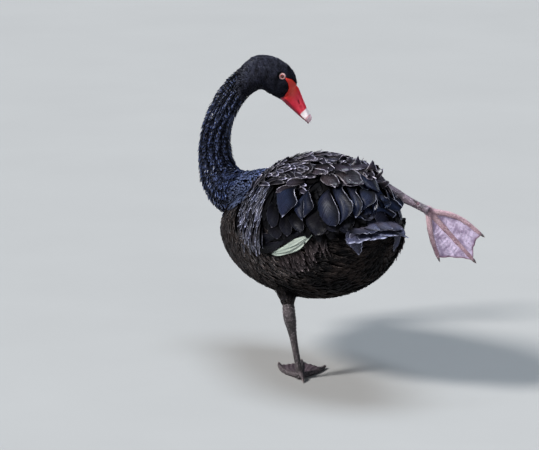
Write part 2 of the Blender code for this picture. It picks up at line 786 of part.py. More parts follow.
def make_legs(parent):
    for name, side, place in (("left", 1, left_foot_place()), ("right", -1, right_foot_place())):
        finish(shank_solid(name), "leg_skin", parent)
        thigh = thigh_solid(name)
        cut_clear(thigh, [swollen(torso_solid(), GAP)])
        cut_clear(thigh, [swollen(shank_solid(name), GAP)])
        cut_clear(thigh, [swollen(piece, GAP) for piece in flight_pieces(side)])
        finish(thigh, "plumage", parent)
        make_foot(name, place, parent)


def build():
    clear_scene()
    swan = bpy.data.objects.new("swan", None)
    swan.location = BODY_AT
    bpy.context.scene.collection.objects.link(swan)
    torso = torso_solid()
    finish(torso, "plumage", swan)
    make_neck(swan)
    make_head(swan)
    for side in (1, -1):
        make_eye(side, swan)
    make_bill(swan)
    for side in (1, -1):
        make_wing(side, swan)
    make_tail(swan)
    make_legs(swan)


build()
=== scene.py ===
import math

import bmesh
import bpy
import numpy as np
from mathutils import Matrix, Vector
from mathutils.bvhtree import BVHTree


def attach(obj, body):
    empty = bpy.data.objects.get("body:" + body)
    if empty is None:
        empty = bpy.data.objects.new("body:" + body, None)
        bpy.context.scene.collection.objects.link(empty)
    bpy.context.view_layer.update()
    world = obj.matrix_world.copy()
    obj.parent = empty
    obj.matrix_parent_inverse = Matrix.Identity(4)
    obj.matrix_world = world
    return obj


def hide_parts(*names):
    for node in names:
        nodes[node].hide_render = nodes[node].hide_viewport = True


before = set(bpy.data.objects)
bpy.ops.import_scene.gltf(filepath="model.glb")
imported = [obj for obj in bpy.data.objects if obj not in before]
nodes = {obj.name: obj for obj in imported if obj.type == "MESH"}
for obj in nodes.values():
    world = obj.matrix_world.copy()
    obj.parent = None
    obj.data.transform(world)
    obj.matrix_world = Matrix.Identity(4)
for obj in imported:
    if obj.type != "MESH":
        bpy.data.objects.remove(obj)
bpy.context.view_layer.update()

# The swan faces -Y and its left is +X. Places are in metres from the body's middle, which is here.
bodyAt = np.array([-0.046, -0.036, 0.272])
sides = ((1, "left"), (-1, "right"))


# sums on arrays of points

def unit(v):
    return v / np.maximum(np.linalg.norm(v, axis=-1, keepdims=True), 1e-12)


def ease(x, low, high):
    t = np.clip((x - low) / (high - low), 0, 1)
    return t * t * (3 - 2 * t)


def flat(v, normal):  # the part of v that lies in the surface
    return unit(v - normal * (v * normal).sum(-1, keepdims=True))


def noise3(p, size, seed=0):  # a smooth cheap noise, -1 to 1
    out = np.zeros(len(p))
    draw = np.random.default_rng(seed)
    for k in range(5):
        way = unit(draw.normal(size=3)) * 2 * np.pi / size * (0.7 + 0.35 * k)
        out += np.sin(p @ way + draw.uniform(0, 6.28)) / 3
    return out


def tilt(angle):  # turns about the swan's left-right axis
    c, s = math.cos(angle), math.sin(angle)
    return np.array([[1, 0, 0], [0, c, -s], [0, s, c]])


class Egg:  # the rounded forms that the body and the folded wings follow
    def __init__(self, centre, rise, front, rear, half, up, down):
        self.centre, self.turn = np.array(centre), tilt(rise)
        self.reach = front, rear, half, up, down

    def local(self, p):
        return (p - self.centre) @ self.turn

    def sizes(self, q):
        front, rear, half, up, down = self.reach
        return np.stack([np.full(len(q), half), np.where(q[:, 1] > 0, rear, front),
                         np.where(q[:, 2] > 0, up, down)], -1)

    def __call__(self, p):  # the nearest places on the form, roughly, and its normals there
        q = self.local(p)
        size = self.sizes(q)
        q = q / np.linalg.norm(q / size, axis=1, keepdims=True)
        return q @ self.turn.T + self.centre, unit(q / size**2) @ self.turn.T


class Roof:  # the arched sheet that the tail feathers follow
    def __init__(self, root, droop, arch):
        self.root, self.arch, self.turn = np.array(root), arch, tilt(-droop)

    def __call__(self, p):
        q = (p - self.root) @ self.turn
        q[:, 2] = -self.arch * q[:, 0] ** 2
        n = unit(np.stack([2 * self.arch * q[:, 0], np.zeros(len(q)), np.ones(len(q))], -1))
        return q @ self.turn.T + self.root, n @ self.turn.T


archSize = {"front": 0.207, "rear": 0.214, "half": 0.133, "up": 0.136, "down": 0.118}
archAt, archRise = (0, 0.036, 0.0), math.radians(11)
torsoEgg = Egg((0, 0.006, -0.004), math.radians(9), 0.282, 0.234, 0.126, 0.096, 0.127)
archEgg = Egg(archAt, archRise, **archSize)
farEgg = Egg(archAt, archRise, **{**archSize, "half": 0.106})  # the far wing is held closer
tailRoof = Roof((0, 0.180, 0.051), math.radians(12), 6.0)

# the neck's middle line from breast to head, and its radius
neckStations = np.array([
    (0.000, -0.105, 0.018, 0.062), (0.004, -0.160, 0.022, 0.054), (0.014, -0.226, 0.013, 0.046),
    (0.022, -0.274, 0.015, 0.042), (0.028, -0.304, 0.032, 0.038), (0.033, -0.315, 0.060, 0.033),
    (0.036, -0.316, 0.090, 0.0295), (0.035, -0.313, 0.121, 0.0270), (0.030, -0.308, 0.148, 0.0255),
    (0.020, -0.300, 0.175, 0.0250), (0.006, -0.291, 0.200, 0.0255), (-0.012, -0.281, 0.220, 0.0260),
    (-0.034, -0.269, 0.231, 0.0250)])


def extended(line):
    return np.concatenate([[2 * line[0] - line[1]], line, [2 * line[-1] - line[-2]]])


def between(a, b, c, d, t):  # on a smooth curve from b to c
    return 0.5 * (2 * b + (c - a) * t + (2 * a - 5 * b + 4 * c - d) * t**2 + (3 * b - a - 3 * c + d) * t**3)


def through(line, share):  # places on a smooth line through the given ones
    line = np.asarray(line, float)
    s = extended(line)
    x = np.clip(share, 0, 1) * (len(line) - 1)
    i = np.minimum(x.astype(int), len(line) - 2)
    return between(*(s[i + k] for k in range(4)), (x - i)[:, None])


def smoothLine(stations, steps):  # a line through the stations, with its direction and a steady side
    s = extended(np.asarray(stations, float))
    rows = [between(*s[i - 1:i + 3], t) for i in range(1, len(s) - 2) for t in np.linspace(0, 1, steps, endpoint=False)]
    rows = np.array([*rows, s[-2]])
    along = np.concatenate([[0], np.cumsum(np.linalg.norm(np.diff(rows[:, :3], axis=0), axis=1))])
    way = unit(np.gradient(rows[:, :3], along, axis=0))
    side, across = np.array([1.0, 0, 0]), []
    for w in way:
        side = unit(side - w * (side @ w))
        across.append(side)
    return {"at": rows[:, :3], "radius": rows[:, 3], "along": along, "way": way, "side": np.array(across)}


def onLine(line, key, d):  # the line's place, way or side at a distance along it
    return np.array([np.interp(d, line["along"], line[key][:, c]) for c in range(3)])


neckLine = smoothLine(neckStations, 12)
neckLength = neckLine["along"][-1]

# the head's own axes: front along the mouth line, left, up
headAt = np.array([-0.070, -0.250, 0.2305])
heading, dip = math.radians(28), math.radians(46)
outward = np.array([-math.cos(heading), math.sin(heading), 0])
headFront = outward * math.cos(dip) + np.array([0, 0, -math.sin(dip)])
headUp = outward * math.sin(dip) + np.array([0, 0, math.cos(dip)])
headLeft = np.cross(headUp, headFront)
headAxes = np.stack([headFront, headLeft, headUp])


def toHead(p):
    return (p - headAt) @ headAxes.T


def fromHead(q):
    return np.asarray(q) @ headAxes + headAt


legs = {
    "left": {"knee": np.array([0.058, -0.002, -0.062]), "ankle": np.array([0.060, 0.022, -0.156]),
             "foot": np.array([0, 0, 0.0084]) - bodyAt},
    "right": {"knee": np.array([-0.088, 0.010, -0.005]), "ankle": np.array([-0.058, 0.155, 0.090]),
              "foot": np.array([-0.108, 0.227, 0.057])},
}


def alongLeg(leg, p, held=False):  # how far along from knee to ankle, as a share, and how far from that line
    axis = leg["ankle"] - leg["knee"]
    share = ((p - leg["knee"]) @ axis) / (axis @ axis)
    nearest = np.clip(share, 0, 1) if held else share
    return share, np.linalg.norm(p - leg["knee"] - axis * nearest[:, None], axis=1)


class Value:  # a socket that can be used in sums
    def __init__(self, paint, socket):
        self.paint, self.socket = paint, socket

    def sum(self, operation, *terms, **more):
        return self.paint.node("Math", {"operation": operation, **more}, dict(enumerate(terms)))

    def __add__(self, other): return self.sum("ADD", self, other)
    def __radd__(self, other): return self.sum("ADD", other, self)
    def __sub__(self, other): return self.sum("SUBTRACT", self, other)
    def __rsub__(self, other): return self.sum("SUBTRACT", other, self)
    def __mul__(self, other): return self.sum("MULTIPLY", self, other)
    def __rmul__(self, other): return self.sum("MULTIPLY", other, self)
    def clamp(self): return self.sum("ADD", self, 0.0, use_clamp=True)
    def sine(self): return self.sum("SINE", self)


class Paint:  # one material and the nodes that make it
    def __init__(self, name, constants=None):
        self.material = bpy.data.materials.new(name)
        self.material.use_nodes = True
        self.tree = self.material.node_tree
        self.shader = self.tree.nodes["Principled BSDF"]
        for key, value in (constants or {}).items():
            self.put(self.shader.inputs[key], value)

    def put(self, socket, value):
        if isinstance(value, Value):
            self.tree.links.new(value.socket, socket)
        elif socket.type == "RGBA" and len(value) == 3:
            socket.default_value = (*value, 1.0)
        else:
            socket.default_value = value

    def node(self, kind, settings=None, values=None, out=0):
        n = self.tree.nodes.new("ShaderNode" + kind)
        for key, setting in (settings or {}).items():
            setattr(n, key, setting)
        for key, value in (values or {}).items():
            self.put(n.inputs[key], value)
        return Value(self, n.outputs[out])

    def attribute(self, name):
        return self.node("Attribute", {"attribute_name": name}, out=2)

    def place(self):
        return self.node("TexCoord", out=3)

    def noise(self, scale, detail=3.0):
        return self.node("TexNoise", {}, {"Vector": self.place(), "Scale": scale, "Detail": detail, "Roughness": 0.55})

    def cells(self, scale, feature, out=0):
        return self.node("TexVoronoi", {"feature": feature}, {"Vector": self.place(), "Scale": scale}, out=out)

    def mix(self, share, a, b):
        return self.node("Mix", {"data_type": "RGBA", "blend_type": "MIX"}, {0: share, 6: a, 7: b}, out=2)

    def band(self, value, low, high):  # 0 below low, 1 above high
        return self.node("MapRange", {"interpolation_type": "SMOOTHSTEP"}, {0: value, 1: low, 2: high})

    def bump(self, height, strength, distance):
        return self.node("Bump", {}, {"Height": height, "Strength": strength, "Distance": distance})

    def finish(self, colour, roughness, normal=None, coat=None):
        given = {"Base Color": colour, "Roughness": roughness, "Normal": normal, "Coat Weight": coat}
        for key, value in given.items():
            if value is not None:
                self.put(self.shader.inputs[key], value)
        return self.material


def grainPaint(name, scale, detail, dark, light, rough, height, band=None, constants=None):  # a plain skin of one grain
    p = Paint(name, constants)
    grain = p.noise(scale, detail)
    share = p.band(grain, *band) if band else grain
    return p.finish(p.mix(share, dark, light), rough + 0.2 * grain, p.bump(grain, *height))


# making meshes

def makeMesh(name, points, quads, paint, attributes=None, uv=None, stands=(), outward=True):
    mesh = bpy.data.meshes.new(name)
    points = np.asarray(points, dtype=np.float64) + bodyAt
    quads = np.asarray(quads, dtype=np.int32)
    if outward:
        corner = points[quads] - points.mean(0)
        volume = sum((np.cross(corner[:, 0], corner[:, i]) * corner[:, i + 1]).sum() for i in (1, 2))
        if volume < 0:
            quads = quads[:, ::-1]
    mesh.vertices.add(len(points))
    mesh.vertices.foreach_set("co", points.ravel())
    mesh.loops.add(quads.size)
    mesh.loops.foreach_set("vertex_index", quads.ravel())
    mesh.polygons.add(len(quads))
    mesh.polygons.foreach_set("loop_start", np.arange(0, quads.size, 4))
    mesh.update(calc_edges=True)
    mesh.shade_smooth()
    for key, values in (attributes or {}).items():
        layer = mesh.attributes.new(key, "FLOAT", "POINT")
        layer.data.foreach_set("value", np.asarray(values, dtype=np.float32).ravel())
    if uv is not None:
        layer = mesh.uv_layers.new(name="OFBake")
        layer.data.foreach_set("uv", np.asarray(uv)[quads.ravel()].ravel())
    obj = bpy.data.objects.new(name, mesh)
    bpy.context.scene.collection.objects.link(obj)
    mesh.materials.append(paint)
    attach(obj, "root")
    if stands:
        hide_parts(*stands)


def gridQuads(rows, columns, closed=False, start=0):
    i, j = np.meshgrid(np.arange(rows - 1), np.arange(columns if closed else columns - 1), indexing="ij")
    k = (j + 1) % columns
    corners = [i * columns + j, i * columns + k, (i + 1) * columns + k, (i + 1) * columns + j]
    return np.stack(corners, -1).reshape(-1, 4) + start


def tubeQuads(rings, around, start=0):  # a tube of rings, with both ends closed by quads
    caps = []
    for base in (start, start + (rings - 1) * around):
        for k in range((around - 2) // 2):
            caps.append([base + k, base + k + 1, base + around - 2 - k, base + around - 1 - k])
    return np.concatenate([gridQuads(rings, around, True, start), np.array(caps)])


def tubesQuads(count, rings, around):  # many such tubes, one after the other
    return (tubeQuads(rings, around)[None] + (np.arange(count) * rings * around)[:, None, None]).reshape(-1, 4)


def sheetQuads(rows, columns, start=0):  # both faces of a sheet, one grid after the other, and the rim between them
    k = rows * columns
    loop = [i * columns for i in range(rows)] + [(rows - 1) * columns + j for j in range(1, columns)]
    loop += [i * columns + columns - 1 for i in range(rows - 2, -1, -1)] + list(range(columns - 2, 0, -1))
    rim = np.array([[a, b, b + k, a + k] for a, b in zip(loop, loop[1:] + loop[:1])])
    return np.concatenate([gridQuads(rows, columns), gridQuads(rows, columns, start=k)[:, ::-1], rim]) + start


def turnsOf(count):
    return 2 * np.pi * np.arange(count) / count


print("skin")
# grow: past the CAD; padDepth: the wing pad under the wing's form; the rest are half sizes and places of small forms
skinSet = {
    "voxel": 0.0030, "smoothing": 14, "grow": 0.0006, "padDepth": 0.0065,
    "wingFront": np.array([0, -0.150, -0.045]), "wingRear": np.array([0, 0.215, 0.036]),
    "rump": (0.046, 0.044, 0.018), "rumpAt": (0, 0.026, -0.008),
    "nape": (0.0225, 0.0190, 0.0275), "napeAt": (-0.0420, 0, -0.0360), "legTuck": 0.30}
flesh = ["torso", "neck_lower", "neck_middle", "neck_upper", "head", "thigh_left", "thigh_right"]


def ball(form, u, v, change):  # adds a sphere whose points go through change
    made = bmesh.ops.create_uvsphere(form, u_segments=u, v_segments=v, radius=1.0)["verts"]
    setPlaces(made, change(placesOf(made)) + bodyAt)


def placesOf(verts):
    return np.array([v.co for v in verts])


def setPlaces(verts, places):
    for v, place in zip(verts, places):
        v.co = place


def padForm(p):  # the arch under the wing feathers, narrower on the far side
    p = p[:, [0, 2, 1]]
    egg = Egg(archAt, 0, *(r - skinSet["padDepth"] for r in archEgg.reach))
    p[:, 0] *= np.where(p[:, 0] < 0, farEgg.reach[2] / archEgg.reach[2], 1)
    return p * egg.sizes(p) @ archEgg.turn.T + archEgg.centre


def fleshForm(name):  # one flesh node of the CAD, a little larger, and its thigh drawn in towards the ankle
    piece = bmesh.new()
    piece.from_mesh(nodes[name].data)
    piece.transform(nodes[name].matrix_world)
    bmesh.ops.remove_doubles(piece, verts=piece.verts, dist=1e-5)
    if name.startswith("thigh"):
        leg = legs[name[6:]]
        p = placesOf(piece.verts) - bodyAt
        share, _ = alongLeg(leg, p)
        middle = leg["knee"] + (leg["ankle"] - leg["knee"]) * share[:, None]
        tuck = 1 - skinSet["legTuck"] * ease(share, 0.30, 0.62)
        setPlaces(piece.verts, middle + (p - middle) * tuck[:, None] + bodyAt)
    piece.normal_update()
    for v in piece.verts:
        v.co += v.normal * skinSet["grow"]
    scrap = bpy.data.meshes.new("scrap")
    piece.to_mesh(scrap)
    piece.free()
    return scrap


def outerSurface():  # flesh nodes, wing pad, rump and nape made one surface
    form = bmesh.new()
    ball(form, 72, 40, padForm)
    front, edge = skinSet["wingFront"], skinSet["wingRear"] - skinSet["wingFront"]
    everything = form.verts[:] + form.edges[:] + form.faces[:]
    bmesh.ops.bisect_plane(form, geom=everything, plane_co=Vector(front + bodyAt),
                           plane_no=Vector((0, edge[2], -edge[1])), clear_outer=True)
    bmesh.ops.holes_fill(form, edges=[e for e in form.edges if e.is_boundary], sides=0)
    bmesh.ops.recalc_face_normals(form, faces=form.faces)
    ball(form, 32, 20, lambda p: p[:, [0, 2, 1]] * skinSet["rump"] @ tailRoof.turn.T + tailRoof.root + skinSet["rumpAt"])
    ball(form, 32, 20, lambda p: fromHead(p * skinSet["nape"] + skinSet["napeAt"]))
    for name in flesh:
        form.from_mesh(fleshForm(name))
    mesh = bpy.data.meshes.new("flesh")
    form.to_mesh(mesh)
    obj = bpy.data.objects.new("flesh", mesh)
    bpy.context.scene.collection.objects.link(obj)
    step = obj.modifiers.new("one", "REMESH")
    step.mode, step.voxel_size = "VOXEL", skinSet["voxel"]
    step = obj.modifiers.new("soften", "SMOOTH")
    step.factor, step.iterations = 0.5, skinSet["smoothing"]
    made = obj.evaluated_get(bpy.context.evaluated_depsgraph_get()).to_mesh()
    points, normals = np.empty(len(made.vertices) * 3), np.empty(len(made.vertices) * 3)
    made.vertices.foreach_get("co", points)
    made.vertices.foreach_get("normal", normals)
    corners = np.empty(len(made.polygons) * 4, dtype=np.int32)
    made.loops.foreach_get("vertex_index", corners)
    obj.to_mesh_clear()
    bpy.data.objects.remove(obj)
    return points.reshape(-1, 3) - bodyAt, normals.reshape(-1, 3), corners.reshape(-1, 4)


skinPoints, skinNormals, skinQuads = outerSurface()
skinTree = BVHTree.FromPolygons(skinPoints.tolist(), skinQuads.tolist())
quadNormals = unit(skinNormals[skinQuads].mean(1))


def onSkin(points):  # the nearest places on the outer surface and its soft normals there
    found = [skinTree.find_nearest(p) for p in points.tolist()]
    return np.array([f[0] for f in found]), quadNormals[[f[2] for f in found]]


def neckNearest(p):  # distance along the neck, distance from its middle line over its radius, row of that line
    best = np.empty(len(p), dtype=int)
    for i in range(0, len(p), 20000):
        part = p[i:i + 20000]
        best[i:i + 20000] = np.argmin(((part[:, None] - neckLine["at"][None]) ** 2).sum(-1), axis=1)
    off = np.linalg.norm(p - neckLine["at"][best], axis=1)
    return neckLine["along"][best], off / neckLine["radius"][best], best


def unwrap(p):  # where a place lies on the skin's own unwrap: along the neck and body, and round them
    along, _, best = neckNearest(p)
    head = toHead(p)
    atBody = ease(along, 0.16, 0.06) > 0.5
    atHead = ease(head[:, 0], -0.070, -0.052) * (along > neckLength * 0.85) > 0.5
    s = 0.34 + 0.36 * along / neckLength
    s = np.where(atBody, 0.30 - 0.28 * np.clip((p[:, 1] + 0.13) / 0.42, -0.1, 1), s)
    s = np.where(atHead, 0.76 + 0.2 * np.clip((head[:, 0] + 0.06) / 0.1, 0, 1), s)
    side = neckLine["side"][best]
    up = np.cross(neckLine["way"][best], side)
    q = p - neckLine["at"][best]
    turned = np.arctan2((q * up).sum(1), (q * side).sum(1))
    turned = np.where(atBody, np.arctan2(p[:, 2] - 0.01, p[:, 0]), turned)
    turned = np.where(atHead, np.arctan2(head[:, 2] + 0.015, head[:, 1]), turned)
    return np.stack([s, turned / (2 * np.pi) * 0.96 + 0.5], -1)


def lie(p):  # the way the plumage lies at each place
    along, off, best = neckNearest(p)
    head = toHead(p)
    low = 1 - ease(p[:, 2], 0.02, 0.09)
    droop = np.radians(6 + 62 * ease(p[:, 1], -0.02, -0.20) * low + 14 * ease(p[:, 1], 0.12, -0.02) * low)
    way = np.stack([0 * droop, np.cos(droop), -np.sin(droop)], -1)
    onNeck = (ease(off, 1.9, 1.15) * ease(along, 0.03, 0.12))[:, None]
    way = way * (1 - onNeck) - neckLine["way"][best] * onNeck
    onHead = (ease(head[:, 0], -0.085, -0.045) * ease(np.linalg.norm(head, axis=1), 0.085, 0.07))[:, None]
    way = way * (1 - onHead) + (-headFront + 0.25 * headUp * ease(head[:, 2], 0.01, -0.03)[:, None]) * onHead
    for leg in legs.values():
        share, near = alongLeg(leg, p)
        onLeg = (ease(near, 0.05, 0.036) * ease(share, 0.35, 0.62))[:, None]
        way = way * (1 - onLeg) + unit(leg["ankle"] - leg["knee"]) * onLeg
    return unit(way)


def coatDepth(p):  # how far the skin lies under the feathers' outer surface
    along, _, _ = neckNearest(p)
    head = toHead(p)
    depth = 0.0055 - 0.0025 * ease(along, 0.10, 0.45)
    atHead = np.linalg.norm(head, axis=1) < 0.075
    depth = np.where(atHead, np.minimum(depth, 0.0016 + 0.001 * ease(head[:, 0], 0, -0.06)), depth)
    onLeg = np.zeros(len(p))
    for leg in legs.values():
        share, near = alongLeg(leg, p, held=True)
        onLeg = np.maximum(onLeg, ease(near, 0.05, 0.03) * ease(share, 0.45, 0.75))
    return depth * (1 - 0.7 * onLeg)


streakSet = {"rate": 0.30, "perTone": 40.0, "perSide": 9.0, "wander": 1.6, "band": (0.42, 0.62)}


def plumagePaint(name, look):
    # edge: 0 at the shaft, 1 at the rim; along: 0 at the root, 1 at the tip; half: the same as edge, with the side's sign
    look = {**plumageBase, **look}
    tint = (*look["sheenTint"], 1.0)
    p = Paint(name, {"Sheen Weight": look["sheen"], "Sheen Roughness": 0.38, "Sheen Tint": tint, "Specular IOR Level": 0.03,
                     "Coat Roughness": look["rough"] - 0.06, "Coat Tint": tint})
    edge, along, tone, barb, half = (p.attribute(a) for a in ("edge", "along", "tone", "barb", "half"))
    # pale rims and tips: partly the feathers' own pale fringes, partly painted highlight, bluish on the neck, hump and
    # wing
    rim = p.band(edge, look["rimFrom"], 0.98) * p.band(along, look["rimStart"], look["rimStart"] + 0.35)
    rim = (rim + p.band(along, 0.90, 1.0) * 0.8).clamp() * (0.25 + 0.75 * p.band(p.noise(70.0, 4.0), 0.36, 0.58))
    base = p.mix(tone, look["dark"], look["mid"])
    base = p.mix(p.band(p.noise(24.0), 0.42, 0.66) * look["wear"], base, look["brown"])
    # tips lighter: on the neck, hump and wing the bluish tip colour is painted sky reflection
    base = p.mix(p.band(along, 0.35, 0.95) * (0.08 + 0.92 * tone), base, look["tip"])
    # painted shade: one half of each vane darkened, as if turned away from the light
    base = p.mix(p.band(half, -0.15, 0.85) * look["inner"], base, look["dark"])
    # streaks that follow the barbs, other ones on each side of the shaft
    stray = p.noise(160.0)
    spread = barb * streakSet["rate"] + tone * streakSet["perTone"]
    spread = spread + p.band(half, -0.02, 0.02) * streakSet["perSide"] + stray * streakSet["wander"]
    streak = p.node("TexNoise", {"noise_dimensions": "1D"}, {"W": spread, "Scale": 1.0, "Detail": 3.0, "Roughness": 0.65})
    streak = p.band(streak, *streakSet["band"]) * look["streaks"]
    base = p.mix(streak, base, look["dark"])
    base = p.mix(rim * look["rim"] * (0.04 + 0.96 * tone), base, look["edge"])
    # painted shade: each feather darkened towards its root with the root colour, where the feathers above cover it
    base = p.mix(p.band(along, look["rootShadeTo"], look["rootShadeFrom"]) * 0.9, base, look["root"])
    lines = (barb * 6.2832 + stray * 5.0).sine() * 0.5 + 0.5
    shaft = 1.0 - p.band(edge, 0.0, 0.07)
    height = lines * 0.30 + shaft * 0.7 + p.noise(900.0, 2.0) * 0.4 + stray * 0.6
    rough = look["rough"] + 0.20 * (p.noise(60.0, 2.0) - 0.5) + lines * 0.05
    shine = p.band(along, 0.20, 0.70) * (0.04 + 0.96 * tone) * look["gloss"] * (1.0 - streak)
    return p.finish(base, rough, p.bump(height, look["bump"], 0.0006), shine)


# the root colour and where it fades give the painted shade at the feathers' roots; inner gives the painted shade on one
# half of each vane
plumageBase = {"wear": 0.4, "rim": 1.0, "rimStart": 0.25, "root": (0.0003, 0.0003, 0.0005), "rootShadeTo": 0.35,
               "rootShadeFrom": 0.0, "inner": 0.0, "streaks": 0.3, "sheen": 0.02, "sheenTint": (0.62, 0.70, 1.0),
               "bump": 0.35}
looks = {
    "body": {"dark": (0.0014, 0.0013, 0.0016), "mid": (0.0105, 0.0085, 0.0086), "brown": (0.044, 0.0315, 0.0275),
             "wear": 0.6, "edge": (0.360, 0.290, 0.260), "rim": 0.9, "rimFrom": 0.60, "root": (0.0003, 0.0003, 0.0004),
             "rootShadeTo": 0.80, "rootShadeFrom": 0.30, "tip": (0.0110, 0.0098, 0.0115), "rough": 0.42, "sheen": 0.01,
             "sheenTint": (0.72, 0.78, 1.0), "gloss": 0.30},
    # neck: the bluish mid, tip and rim colours are painted sky reflection on black feathers
    "neck": {"dark": (0.0008, 0.0010, 0.0022), "mid": (0.0100, 0.0130, 0.0280), "brown": (0.009, 0.0080, 0.012),
             "wear": 0.3, "edge": (0.270, 0.330, 0.560), "rimFrom": 0.36, "root": (0.0002, 0.0002, 0.0005),
             "rootShadeTo": 0.90, "rootShadeFrom": 0.35, "tip": (0.046, 0.060, 0.120), "rough": 0.32,
             "sheenTint": (0.62, 0.72, 1.0), "gloss": 1.0},
    # hump: bright blue colours throughout, painted sky reflection on black feathers
    "hump": {"dark": (0.0240, 0.0300, 0.0560), "mid": (0.1050, 0.1300, 0.2400), "brown": (0.080, 0.0880, 0.135),
             "wear": 0.3, "edge": (0.480, 0.560, 0.800), "rimFrom": 0.40, "root": (0.0010, 0.0012, 0.0022),
             "rootShadeTo": 0.70, "rootShadeFrom": 0.20, "tip": (0.220, 0.270, 0.450), "rough": 0.34,
             "sheenTint": (0.62, 0.72, 1.0), "gloss": 1.0},
    "head": {"dark": (0.0030, 0.0030, 0.0050), "mid": (0.0150, 0.0155, 0.0250), "brown": (0.018, 0.0150, 0.0175),
             "edge": (0.150, 0.155, 0.225), "rim": 0.7, "rimFrom": 0.5, "root": (0.0006, 0.0006, 0.0009), "rootShadeTo": 0.8,
             "rootShadeFrom": 0.2, "tip": (0.026, 0.028, 0.046), "rough": 0.40, "sheen": 0.03, "sheenTint": (0.7, 0.76, 1.0),
             "gloss": 0.70, "bump": 0.3},
    "shoulder": {"dark": (0.0024, 0.0025, 0.0038), "mid": (0.0200, 0.0200, 0.0270), "brown": (0.036, 0.0290, 0.0300),
                 "wear": 0.45, "edge": (0.900, 0.870, 0.950), "rimFrom": 0.50, "rootShadeTo": 0.6, "rootShadeFrom": 0.15,
                 "tip": (0.036, 0.039, 0.058), "rough": 0.38, "sheenTint": (0.66, 0.72, 1.0), "gloss": 0.90},
    "mantle": {"dark": (0.0011, 0.0010, 0.0014), "mid": (0.0165, 0.0135, 0.0185), "brown": (0.028, 0.0215, 0.0255),
               "wear": 0.5, "edge": (0.980, 0.910, 0.960), "rimFrom": 0.56, "rimStart": 0.05, "rootShadeTo": 0.6,
               "rootShadeFrom": 0.2, "tip": (0.026, 0.0235, 0.0310), "inner": 0.60, "streaks": 0.45, "rough": 0.35,
               "sheenTint": (0.72, 0.74, 1.0), "gloss": 0.80},
    "cape": {"dark": (0.0024, 0.0020, 0.0027), "mid": (0.0255, 0.0200, 0.0265), "brown": (0.046, 0.0330, 0.0340),
             "wear": 0.6, "edge": (0.950, 0.860, 0.930), "rimFrom": 0.84, "rimStart": 0.0, "rootShadeTo": 0.45,
             "rootShadeFrom": 0.05, "tip": (0.038, 0.0300, 0.0390), "inner": 0.75, "streaks": 0.60, "rough": 0.35,
             "sheenTint": (0.72, 0.74, 1.0), "gloss": 0.95, "bump": 0.30},
    # wing: the blue of the mid and tip colours is painted sky reflection on black feathers
    "wing": {"dark": (0.0012, 0.0012, 0.0022), "mid": (0.0135, 0.0200, 0.0450), "brown": (0.017, 0.0150, 0.0250),
             "wear": 0.45, "edge": (0.850, 0.820, 0.950), "rimFrom": 0.90, "rimStart": 0.0,
             "root": (0.0003, 0.0003, 0.0006), "rootShadeTo": 0.25, "rootShadeFrom": 0.02, "tip": (0.0150, 0.0175, 0.0350),
             "inner": 0.90, "streaks": 0.60, "rough": 0.38, "sheenTint": (0.46, 0.62, 1.0), "gloss": 0.55,
             "bump": 0.38},
    "tail": {"dark": (0.0100, 0.0104, 0.0170), "mid": (0.0560, 0.0590, 0.0950), "brown": (0.050, 0.0400, 0.0480),
             "wear": 0.8, "edge": (0.780, 0.780, 0.930), "rim": 0.9, "rimFrom": 0.86, "rimStart": 0.1,
             "root": (0.0012, 0.0013, 0.0020), "rootShadeTo": 0.25, "tip": (0.076, 0.080, 0.124), "inner": 0.75,
             "streaks": 0.60, "rough": 0.42, "gloss": 0.60, "bump": 0.30},
    "shade": {"dark": (0.0010, 0.0010, 0.0018), "mid": (0.0052, 0.0052, 0.0088), "brown": (0.010, 0.0082, 0.0105),
              "edge": (0.230, 0.210, 0.240), "rim": 0.9, "rimFrom": 0.90, "rootShadeTo": 0.5, "rootShadeFrom": 0.1,
              "tip": (0.0085, 0.0095, 0.0170), "inner": 0.5, "streaks": 0.60, "rough": 0.42, "sheen": 0.01,
              "gloss": 0.35, "bump": 0.30},
    # deep: near-black feathers laid under the others to fill the hollows, painted shade
    "deep": {"dark": (0.0004, 0.0004, 0.0006), "mid": (0.0010, 0.0010, 0.0015), "brown": (0.002, 0.0018, 0.0022),
             "edge": (0.020, 0.019, 0.023), "rim": 0.8, "rimFrom": 0.86, "root": (0.0003, 0.0003, 0.0004),
             "tip": (0.0014, 0.0015, 0.0024), "rough": 0.60, "sheen": 0.0, "gloss": 0.05},
    "flank": {"dark": (0.0024, 0.0019, 0.0022), "mid": (0.0160, 0.0120, 0.0135), "brown": (0.036, 0.0260, 0.0265),
              "wear": 0.6, "edge": (0.360, 0.300, 0.320), "rim": 0.9, "rimFrom": 0.55, "root": (0.0004, 0.0004, 0.0005),
              "rootShadeTo": 0.7, "rootShadeFrom": 0.2, "tip": (0.034, 0.0270, 0.0290), "rough": 0.50, "sheen": 0.01,
              "sheenTint": (0.9, 0.8, 0.8), "gloss": 0.30, "bump": 0.5},
    "white": {"dark": (0.33, 0.38, 0.34), "mid": (0.42, 0.47, 0.42), "brown": (0.30, 0.36, 0.30),
              "edge": (0.50, 0.54, 0.49), "rim": 0.4, "rimFrom": 0.90, "root": (0.34, 0.40, 0.35),
              "tip": (0.42, 0.47, 0.42), "rough": 0.56, "sheenTint": (1.0, 1.0, 1.0), "gloss": 0.35, "bump": 0.5},
}
paints = {name: plumagePaint(name + "Plumage", look) for name, look in looks.items()}


def faceUp(quads, points, corner, up):  # turns all quads over if the one with these corners faces down
    a, b, _, d = points[corner]
    return quads[:, ::-1] if np.cross(b - a, d - a) @ up < 0 else quads


bakePatch = 0.003  # the size of each feather's own patch on the skin's unwrap


